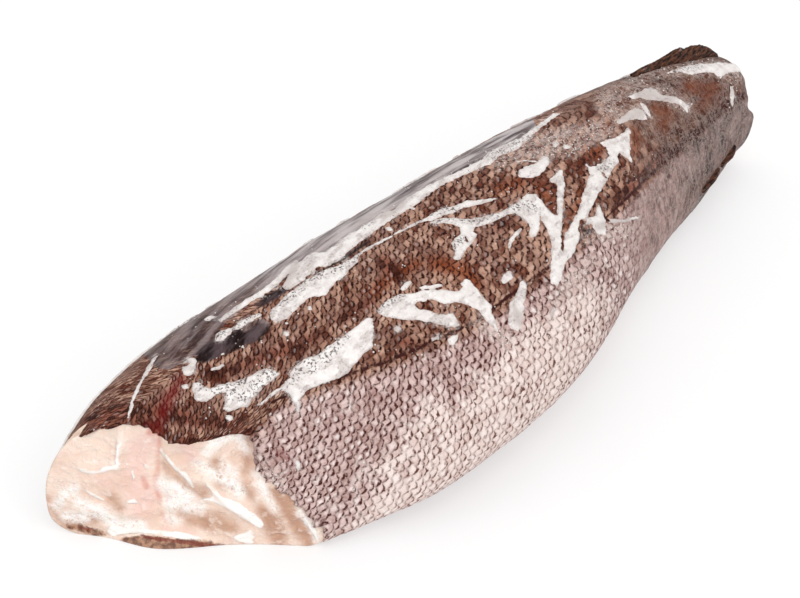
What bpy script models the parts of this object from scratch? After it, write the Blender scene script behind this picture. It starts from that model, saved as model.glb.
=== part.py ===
"""A frozen headless hake: the gutted trunk of one fish, cut off behind the head and before the tail fin.

It lies on its belly with the head end at -X and its left flank towards -Y. The back leans over towards +Y,
the belly was pressed flat by the tray it froze on, and the thin left belly wall slopes down to the floor.
Sizes below are in millimetres. AT is measured along the fish from the foremost edge of the head cut.
"""

import math
import random
from collections import namedtuple

import bmesh
import bpy
import numpy as np
from mathutils import Vector
from mathutils.geometry import delaunay_2d_cdt

MM = 0.001
NODE = "hake_trunk"

# Cross-sections along the fish. near and far are the widest points of the left and the right flank, near_z and
# far_z their heights, top and crown the height and the place of the highest line, keel where the belly touches
# down. near_full, far_full and under_full say how boxy those quarters are: 2 is an ellipse.
Station = namedtuple(
    "Station",
    "at near near_z top crown keel far far_z near_full far_full under_full",
)
STATIONS = (
    Station(-5, -30, 2, 51, 28, 12, 53, 16, 1.7, 2.15, 3.4),
    Station(22, -33, 2, 61, 26, 9, 60, 23, 1.65, 2.2, 3.0),
    Station(52, -38, 3, 70, 20, 4, 60, 31, 1.5, 2.15, 2.6),
    Station(72, -50, 9, 76, 17, 0, 55, 37, 1.65, 2.1, 2.5),
    Station(97, -64, 18, 82, 13, -5, 49, 42, 1.85, 2.0, 2.4),
    Station(132, -71, 26, 86, 11, -10, 43, 45, 1.95, 2.0, 2.3),
    Station(172, -71, 29, 86, 9, -13, 38, 47, 2.0, 2.0, 2.2),
    Station(212, -63, 29, 84, 8, -13, 36, 47, 2.0, 2.0, 2.2),
    Station(252, -49, 26, 80, 7, -11, 35, 46, 2.0, 2.0, 2.2),
    Station(282, -40, 24, 76, 8, -9, 33, 44, 2.0, 2.0, 2.2),
    Station(312, -32, 22, 72, 9, -7, 30, 42, 2.0, 2.0, 2.2),
    Station(342, -26, 21, 66, 9, -5, 26, 40, 2.0, 2.0, 2.1),
    Station(367, -20, 21, 60, 8, -4, 21, 38, 2.0, 2.0, 2.1),
    Station(387, -16, 23, 54, 7, -2, 17, 34, 2.0, 2.0, 2.1),
    Station(404, -14, 23, 48, 6, -1, 15, 30, 2.0, 2.0, 2.1),
)
PRESSED = 2.5  # how far the round belly is pressed flat
NEAR_UNDER_FULL = 2.1
TAIL_LIFT = 3.0  # the tail end stands clear of the floor
LIFT_FROM = 330.0
LIFT_RUN = 70.0

# Rounded mounds of an end of the fish: middle, half widths, and height out of the end
Mound = namedtuple("Mound", "y z reach_y reach_z height")

# The head cut: a plane that slants across the fish, the belly side cut further back than the nape
CUT_CORNER_AT = 54.6
CUT_CORNER_Y = -37.2
CUT_SKEW = 0.66
CUT_MOUNDS = (
    Mound(5, 56, 10, 9, 7.0),  # a tongue of skin that hangs over the flesh
    Mound(-10, 51, 6.5, 14, -12.0),  # the flesh beside it, torn back
    Mound(36, 28, 16, 17, 4.0),  # the right flank muscle
    Mound(-14, 20, 12, 12, 2.0),  # the left belly muscle
    Mound(12, 0, 17, 4.5, 8.0),  # the lip of the tucked-in belly wall
)

# Tendon strips, muscle edges and the backbone cleft on the head cut: from y, z to y, z, half width and height
FACE_RIDGES = (
    (0.0, 31.0, -19.0, 11.0, 2.4, 1.8),
    (14.0, 46.0, 4.0, 31.0, 1.8, 1.0),
    (26.5, 51.0, 27.0, 35.5, 1.8, 0.9),
    (27.0, 36.0, 39.5, 36.0, 1.8, 0.7),
    (45.0, 16.0, 21.0, 12.5, 4.0, 1.4),
    (21.0, 5.5, 0.0, 3.5, 2.6, 1.6),
    (-9.0, 4.5, -16.0, 7.0, 2.6, 1.6),
    (14.5, 48.0, 15.0, 9.0, 2.6, -2.2),
    (-9.0, 45.0, -11.5, 34.0, 2.6, -1.8),
)

# The tail cut: an upper and a lower lobe of flesh with a notch between them
TAIL_AT = 396.0
TAIL_SLANT = 0.30
TAIL_SQUARE_ABOVE = 24.0
TAIL_MOUNDS = (
    Mound(3, 42, 14, 9, 3.0),
    Mound(-3, 21, 16, 10, 3.0),
    Mound(0, 32, 60, 4, -4.5),
)

# The furrow between the upper and the lower flank muscle on both sides, as parts of the way round
FURROW_DEPTH = 1.3
FURROW_FROM = 280.0
FURROW_RUN = 110.0
FURROW_SHARES = (0.17, 0.80)
FURROW_REACH = 0.026

# How finely the solid is divided
AROUND = 72
ALONG = 36
RING_PITCH = 2.0
CAP_PITCH = 2.6
RIM_CLEAR = 0.6  # the least way from the rim to the net's first points, in pitches
EDGE_FADE = 9  # how soon the rings lose the ragged shape of the head cut
QUARTER_STEPS = 40

# Fin stubs
FIN_SEED = 7
FIN_THICK = 2.4
FIN_SUNK = 4.0
FIN_STEP = 3.0
DORSAL_SHARE = 0.985
DORSAL_TUFTS = ((365.0, 30.0, 6.2),)
ANAL_SHARE = 0.345
ANAL_TUFTS = ((347.0, 8.0, 3.0), (370.0, 10.0, 4.2))


def ease(value):
    """A soft step from 0 to 1."""
    t = min(max(value, 0.0), 1.0)
    return t * t * (3 - 2 * t)


def bump(value, middle, reach):
    """A soft mound of height 1 around the middle, for a number or an array."""
    return np.exp(-(((value - middle) / reach) ** 2))


def station_at(at):
    """The section sizes at any place along the fish, on a smooth curve through the stations."""
    table = np.array(STATIONS, dtype=float)
    places = table[:, 0]
    at = float(np.clip(at, places[0], places[-1]))
    k = int(np.clip(np.searchsorted(places, at) - 1, 0, len(places) - 2))
    slopes = np.gradient(table, places, axis=0)
    span = places[k + 1] - places[k]
    t = (at - places[k]) / span
    sizes = (
        table[k] * (1 + 2 * t) * (1 - t) ** 2
        + slopes[k] * span * t * (1 - t) ** 2
        + table[k + 1] * t * t * (3 - 2 * t)
        + slopes[k + 1] * span * t * t * (t - 1)
    )
    return Station(*sizes)


def quarter(fullness):
    """Sine and cosine like runs of a quarter of a superellipse."""
    angle = np.linspace(0, math.pi / 2, QUARTER_STEPS, endpoint=False)
    return np.sin(angle) ** (2 / fullness), np.cos(angle) ** (2 / fullness)


def section(at):
    """The outline at one place as AROUND evenly spaced (y, z) points, from the crown down the left flank."""
    s = station_at(at)
    floor = -PRESSED + (TAIL_LIFT + PRESSED) * ease((at - LIFT_FROM) / LIFT_RUN)
    rise, run = quarter(s.near_full)
    near_top = (s.crown + (s.near - s.crown) * rise, s.near_z + (s.top - s.near_z) * run)
    rise, run = quarter(NEAR_UNDER_FULL)
    near_under = (s.keel + (s.near - s.keel) * run, floor + (s.near_z - floor) * (1 - rise))
    rise, run = quarter(s.under_full)
    far_under = (s.keel + (s.far - s.keel) * rise, floor + (s.far_z - floor) * (1 - run))
    rise, run = quarter(s.far_full)
    far_top = (s.crown + (s.far - s.crown) * run, s.far_z + (s.top - s.far_z) * rise)
    ring = np.hstack([near_top, near_under, far_under, far_top]).T
    ring[:, 1] = np.maximum(ring[:, 1], 0.0)
    ring = np.vstack([ring, ring[:1]])
    steps = np.linalg.norm(np.diff(ring, axis=0), axis=1)
    gone = np.concatenate([[0.0], np.cumsum(steps)])
    wanted = np.linspace(0, gone[-1], AROUND, endpoint=False)
    even = np.stack([np.interp(wanted, gone, ring[:, k]) for k in (0, 1)], axis=1)
    return furrowed(even, at)


def furrowed(ring, at):
    """Sinks the ring along the line between the upper and the lower flank muscle, deeper towards the tail."""
    depth = FURROW_DEPTH * ease((at - FURROW_FROM) / FURROW_RUN)
    along = np.roll(ring, -1, axis=0) - np.roll(ring, 1, axis=0)
    inward = np.stack([-along[:, 1], along[:, 0]], axis=1)
    inward /= np.linalg.norm(inward, axis=1)[:, None]
    shares = np.arange(AROUND) / AROUND
    sunk = sum(depth * bump(shares, share, FURROW_REACH) for share in FURROW_SHARES)
    return ring + inward * sunk[:, None]


def skin_rings():
    """Sections every RING_PITCH along the whole fish, which the lofts read between."""
    places = np.arange(STATIONS[0].at - 6, STATIONS[-1].at + 6, RING_PITCH)
    return places, np.array([section(at) for at in places])


def on_skin(skin, at):
    """The (y, z) of every line along the skin, each read at its own place along the fish."""
    places, rings = skin
    row = np.clip((np.asarray(at) - places[0]) / RING_PITCH, 0, len(places) - 1.001)
    low = row.astype(int)
    part = (row - low)[:, None]
    k = np.arange(AROUND)
    return rings[low, k] * (1 - part) + rings[low + 1, k] * part


def ridge(y, z, line):
    """A rounded ridge, or a groove where its height is negative, along one straight line of the cut."""
    y0, z0, y1, z1, reach, height = line
    run = (y1 - y0) ** 2 + (z1 - z0) ** 2
    t = np.clip(((y - y0) * (y1 - y0) + (z - z0) * (z1 - z0)) / run, 0.0, 1.0)
    away = np.hypot(y - y0 - t * (y1 - y0), z - z0 - t * (z1 - z0))
    return height * bump(away, 0.0, reach)


def swell(y, z, mounds):
    """How far the mounds of an end stand out of it, negative where they sink in."""
    return sum(m.height * bump(y, m.y, m.reach_y) * bump(z, m.z, m.reach_z) for m in mounds)


def cut_at(y, z):
    """Where the head cut lies, with its relief."""
    plane = CUT_CORNER_AT - (y - CUT_CORNER_Y) * CUT_SKEW
    return plane - swell(y, z, CUT_MOUNDS) - sum(ridge(y, z, line) for line in FACE_RIDGES)


def tail_at(y, z):
    """Where the tail cut lies, shorter towards the belly."""
    plane = TAIL_AT - TAIL_SLANT * np.maximum(TAIL_SQUARE_ABOVE - z, 0.0)
    return plane + swell(y, z, TAIL_MOUNDS)


def end_ring(skin, surface, start):
    """The places along the fish where the skin's lines meet an end surface."""
    places = np.full(AROUND, float(start))
    for _ in range(60):
        y, z = on_skin(skin, places).T
        places += 0.5 * (surface(y, z) - places)
    return places


def add_cap(bm, rim, surface, outward):
    """Closes an end with an even net of triangles that follows the end surface."""
    outline = np.array([v.co.yz for v in rim]) / MM
    low, high = outline.min(axis=0), outline.max(axis=0)
    edges = np.roll(outline, -1, axis=0) - outline
    border = np.vstack([outline + edges * part for part in (0.0, 0.25, 0.5, 0.75)])
    points = [Vector(p) for p in outline]
    row_pitch = CAP_PITCH * math.sqrt(0.75)
    for row, z in enumerate(np.arange(low[1], high[1], row_pitch)):
        for y in np.arange(low[0] + (row % 2) * CAP_PITCH / 2, high[0], CAP_PITCH):
            if np.linalg.norm(border - (y, z), axis=1).min() > CAP_PITCH * RIM_CLEAR:
                points.append(Vector((y, z)))
    rim_edges = [(k, (k + 1) % len(rim)) for k in range(len(rim))]
    inside_only = 1
    flat, _, faces, origins, _, _ = delaunay_2d_cdt(points, rim_edges, [], inside_only, 1e-6)
    verts = []
    for place, (y, z) in enumerate(flat):
        known = [k for k in origins[place] if k < len(rim)]
        if known:
            verts.append(rim[known[0]])
        else:
            verts.append(bm.verts.new(Vector((surface(y, z), y, z)) * MM))
    for face in faces:
        a, b, c = (flat[k] for k in face)
        turns_left = (b - a).cross(c - a) > 0
        ordered = face if turns_left == (outward > 0) else face[::-1]
        bm.faces.new([verts[k] for k in ordered])


def trunk_mesh(skin):
    """The fish's body: a loft between unlike sections, closed by the two cuts."""
    first = end_ring(skin, cut_at, 30)
    last = end_ring(skin, tail_at, TAIL_AT)
    bm = bmesh.new()
    rings = []
    level = CUT_CORNER_AT - (on_skin(skin, first)[:, 0] - CUT_CORNER_Y) * CUT_SKEW
    for row in range(ALONG + 1):
        t = row / ALONG
        places = level + (last - level) * t + (first - level) * (1 - t) ** EDGE_FADE
        points = on_skin(skin, places)
        rings.append([bm.verts.new((at * MM, y * MM, z * MM)) for at, (y, z) in zip(places, points)])
    for ahead, behind in zip(rings, rings[1:]):
        for k in range(AROUND):
            after = (k + 1) % AROUND
            bm.faces.new((ahead[k], ahead[after], behind[after], behind[k]))
    add_cap(bm, rings[0], cut_at, -1)
    add_cap(bm, rings[-1], tail_at, 1)
    bmesh.ops.recalc_face_normals(bm, faces=bm.faces)
    mesh = bpy.data.meshes.new(NODE)
    bm.to_mesh(mesh)
    bm.free()
    return mesh


def skin_point(skin, at, share):
    """A point of the skin and the direction out of it, share being the part of the way round from the crown."""
    ring = on_skin(skin, np.full(AROUND, at))
    place = (share % 1.0) * AROUND
    k = int(place)
    here, after = ring[k % AROUND], ring[(k + 1) % AROUND]
    y, z = here + (after - here) * (place - k)
    along = after - here
    return Vector((at, y, z)), Vector((0, along[1], -along[0])).normalized()


def fin_stub(name, skin, share, tufts, seed):
    """A trimmed fin: a ragged sheet rooted in the body along one line of the skin, made thick with Solidify.
    Each tuft is its middle along the fish, its half length and its height."""
    rng = random.Random(seed)
    bm = bmesh.new()
    for middle, reach, height in tufts:
        count = max(int(2 * reach / FIN_STEP), 4)
        rows = []
        for k in range(count + 1):
            at = middle - reach + 2 * reach * k / count
            root, out = skin_point(skin, at, share)
            swell = math.sin(math.pi * (k + 0.5) / (count + 1)) ** 0.6
            tip = height * swell * rng.uniform(0.65, 1.0)
            points = [root - out * FIN_SUNK, root + out * (tip * 0.5), root + out * tip]
            rows.append([bm.verts.new(p * MM) for p in points])
        for low, high in zip(rows, rows[1:]):
            for k in range(2):
                bm.faces.new((low[k], low[k + 1], high[k + 1], high[k]))
    mesh = bpy.data.meshes.new(name)
    bm.to_mesh(mesh)
    bm.free()
    stub = bpy.data.objects.new(name, mesh)
    thick = stub.modifiers.new("thick", "SOLIDIFY")
    thick.thickness = FIN_THICK * MM
    thick.offset = 0
    return stub


def frozen_skin():
    """Brown, dull fish skin."""
    material = bpy.data.materials.new("frozen_skin")
    material.use_nodes = True
    shader = material.node_tree.nodes["Principled BSDF"]
    shader.inputs["Base Color"].default_value = (0.23, 0.16, 0.145, 1)
    shader.inputs["Roughness"].default_value = 0.5
    shader.inputs["Metallic"].default_value = 0.0
    return material


def unite(trunk, pieces, holder):
    """Fuses the pieces to the trunk in one Boolean union, applies it and removes the pieces."""
    fused = trunk.modifiers.new("fins", "BOOLEAN")
    fused.operation = "UNION"
    fused.operand_type = "COLLECTION"
    fused.collection = holder
    fused.solver = "EXACT"
    bpy.context.view_layer.update()
    graph = bpy.context.evaluated_depsgraph_get()
    mesh = bpy.data.meshes.new_from_object(trunk.evaluated_get(graph))
    trunk.modifiers.clear()
    trunk.data = mesh
    for piece in pieces:
        bpy.data.objects.remove(piece, do_unlink=True)
    bpy.data.collections.remove(holder)


def stand_on_origin(trunk):
    """Moves the mesh so that the middle of its box's underside is the origin."""
    corners = np.array([v.co for v in trunk.data.vertices])
    low, high = corners.min(axis=0), corners.max(axis=0)
    middle = Vector(((low[0] + high[0]) / 2, (low[1] + high[1]) / 2, low[2]))
    for v in trunk.data.vertices:
        v.co -= middle


def build():
    for thing in list(bpy.data.objects):
        bpy.data.objects.remove(thing, do_unlink=True)
    fish = bpy.data.collections.new("frozen_headless_hake")
    bpy.context.scene.collection.children.link(fish)
    skin = skin_rings()
    trunk = bpy.data.objects.new(NODE, trunk_mesh(skin))
    fish.objects.link(trunk)
    stubs = bpy.data.collections.new("fin_stubs")
    bpy.context.scene.collection.children.link(stubs)
    pieces = [
        fin_stub("dorsal_stub", skin, DORSAL_SHARE, DORSAL_TUFTS, FIN_SEED),
        fin_stub("anal_stub", skin, ANAL_SHARE, ANAL_TUFTS, FIN_SEED + 1),
    ]
    for piece in pieces:
        stubs.objects.link(piece)
    unite(trunk, pieces, stubs)
    stand_on_origin(trunk)
    trunk.data.materials.clear()
    trunk.data.materials.append(frozen_skin())
    trunk.data.shade_smooth()
    trunk.data.set_sharp_from_angle(angle=math.radians(40))


build()
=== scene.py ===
"""The looks of a frozen headless hake: scaled skin, the cut flesh of both ends, fin stubs, ice and frost.

The fish lies as its solid does: head cut at -X, left flank towards -Y. The form's sizes are in millimetres,
with AT measured along the fish from the foremost edge of the head cut. Strokes of ice and colour are laid
down by where they show in the photograph, in its pixels, and then belong to the skin or flesh there.
"""

import math
import random
from collections import namedtuple

import bmesh
import bpy
import numpy as np
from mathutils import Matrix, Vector, noise
from mathutils.geometry import delaunay_2d_cdt


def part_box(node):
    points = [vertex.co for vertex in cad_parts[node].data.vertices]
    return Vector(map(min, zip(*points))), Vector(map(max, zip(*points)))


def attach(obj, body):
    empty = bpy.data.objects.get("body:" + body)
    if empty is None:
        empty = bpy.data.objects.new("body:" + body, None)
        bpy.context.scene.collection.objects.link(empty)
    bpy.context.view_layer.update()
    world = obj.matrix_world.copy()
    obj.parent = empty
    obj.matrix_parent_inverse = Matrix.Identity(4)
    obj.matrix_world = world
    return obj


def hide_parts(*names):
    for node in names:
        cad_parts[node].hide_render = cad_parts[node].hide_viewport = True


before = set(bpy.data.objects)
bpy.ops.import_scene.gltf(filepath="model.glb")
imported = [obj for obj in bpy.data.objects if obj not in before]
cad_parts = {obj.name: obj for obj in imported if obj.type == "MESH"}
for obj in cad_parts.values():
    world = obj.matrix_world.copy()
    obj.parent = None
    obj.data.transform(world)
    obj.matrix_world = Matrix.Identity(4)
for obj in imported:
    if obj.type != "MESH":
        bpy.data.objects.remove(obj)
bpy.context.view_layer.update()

MM = 0.001
NODE = "hake_trunk"
BODY = "root"

# The form, as the solid has it: widest points of the left and the right flank, their heights, the crown,
# the keel, and how boxy each quarter of the section is
Station = namedtuple("Station", "at near near_z top crown keel far far_z near_full far_full under_full")
STATIONS = (
    Station(-5, -30, 2, 51, 28, 12, 53, 16, 1.7, 2.15, 3.4),
    Station(22, -33, 2, 61, 26, 9, 60, 23, 1.65, 2.2, 3.0),
    Station(52, -38, 3, 70, 20, 4, 60, 31, 1.5, 2.15, 2.6),
    Station(72, -50, 9, 76, 17, 0, 55, 37, 1.65, 2.1, 2.5),
    Station(97, -64, 18, 82, 13, -5, 49, 42, 1.85, 2.0, 2.4),
    Station(132, -71, 26, 86, 11, -10, 43, 45, 1.95, 2.0, 2.3),
    Station(172, -71, 29, 86, 9, -13, 38, 47, 2.0, 2.0, 2.2),
    Station(212, -63, 29, 84, 8, -13, 36, 47, 2.0, 2.0, 2.2),
    Station(252, -49, 26, 80, 7, -11, 35, 46, 2.0, 2.0, 2.2),
    Station(282, -40, 24, 76, 8, -9, 33, 44, 2.0, 2.0, 2.2),
    Station(312, -32, 22, 72, 9, -7, 30, 42, 2.0, 2.0, 2.2),
    Station(342, -26, 21, 66, 9, -5, 26, 40, 2.0, 2.0, 2.1),
    Station(367, -20, 21, 60, 8, -4, 21, 38, 2.0, 2.0, 2.1),
    Station(387, -16, 23, 54, 7, -2, 17, 34, 2.0, 2.0, 2.1),
    Station(404, -14, 23, 48, 6, -1, 15, 30, 2.0, 2.0, 2.1),
)
NEAR_UNDER_FULL = 2.1

# The underside: this far below the floor where it is pressed flat, and lifting off it towards the tail
PRESSED = 2.5
TAIL_LIFT = 3.0
LIFT_FROM = 330.0
LIFT_RUN = 70.0

# The head cut: a slanting plane through its low left corner, with mounds, and with tendon strips, muscle
# edges and the backbone cleft as ridges from y, z to y, z with a half width and a height
Mound = namedtuple("Mound", "y z reach_y reach_z height")
CUT_CORNER_AT = 54.6
CUT_CORNER_Y = -37.2
CUT_SKEW = 0.66
CUT_MOUNDS = (
    Mound(5, 56, 10, 9, 7.0),
    Mound(-10, 51, 6.5, 14, -12.0),
    Mound(36, 28, 16, 17, 4.0),
    Mound(-14, 20, 12, 12, 2.0),
    Mound(12, 0, 17, 4.5, 8.0),
)
FACE_RIDGES = (
    (0.0, 31.0, -19.0, 11.0, 2.4, 1.8),
    (14.0, 46.0, 4.0, 31.0, 1.8, 1.0),
    (26.5, 51.0, 27.0, 35.5, 1.8, 0.9),
    (27.0, 36.0, 39.5, 36.0, 1.8, 0.7),
    (45.0, 16.0, 21.0, 12.5, 4.0, 1.4),
    (21.0, 5.5, 0.0, 3.5, 2.6, 1.6),
    (-9.0, 4.5, -16.0, 7.0, 2.6, 1.6),
    (14.5, 48.0, 15.0, 9.0, 2.6, -2.2),
    (-9.0, 45.0, -11.5, 34.0, 2.6, -1.8),
)

# The tail cut: an upper and a lower lobe of flesh with a notch between them
TAIL_AT = 396.0
TAIL_SLANT = 0.30
TAIL_SQUARE_ABOVE = 24.0
TAIL_MOUNDS = (
    Mound(3, 42, 14, 9, 3.0),
    Mound(-3, 21, 16, 10, 3.0),
    Mound(0, 32, 60, 4, -4.5),
)

# The furrow between the upper and the lower flank muscle, by its parts of the way round from the crown
FURROW_DEPTH = 1.3
FURROW_FROM = 280.0
FURROW_RUN = 110.0
FURROW_SHARES = (0.17, 0.80)
FURROW_REACH = 0.026

# How soon the net's rows run level behind the mounds of the head cut's rim
EDGE_FADE = 9

# How finely the visible skin and flesh are divided
AROUND = 240
ALONG = 330
RING_PITCH = 1.0
QUARTER_STEPS = 60
FLESH_PITCH = 0.8

# Where the net's columns run: parts of the way round from the crown, and the same counted down both flanks
SHARES = np.arange(AROUND) / AROUND
FROM_CROWN = np.minimum(SHARES, 1 - SHARES)

# The grid of scales, fitted to the scales in the photograph and counted towards the tail and across: its
# pitch along the fish and down the flank, its bend along the fish, its twist and its bend down the flank,
# for each 100 mm. Behind one place it is even along the fish.
SCALES_TAILWARDS = (28.3, 26.8, -3.6, -3.95, -6.2)
SCALES_ACROSS = (-25.0, 8.8, 3.9, 0.66, 4.8)
EVEN_SCALES_FROM = 220.0

# The lateral line as the photograph shows it: places along the fish, and parts of the way round from the
# crown
LATERAL_LINE = (
    (20, 0.140), (46, 0.137), (60, 0.120), (71, 0.135), (82, 0.148), (98, 0.166), (117, 0.181), (136, 0.194),
    (185, 0.198), (255, 0.195), (299, 0.198), (342, 0.193), (400, 0.192),
)

# The photographer's standpoint
PHOTO_SIZE = (800, 598)
CAMERA_TURN = -51.5
CAMERA_RISE = 35.0
CAMERA_AWAY = 1.3
METRES_A_PIXEL = 0.00041
MM_A_PIXEL = METRES_A_PIXEL / MM
PIXELS_PER_RADIAN = CAMERA_AWAY / METRES_A_PIXEL
AIM_AT = 152.0
AIM_Z = 50.0

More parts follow.
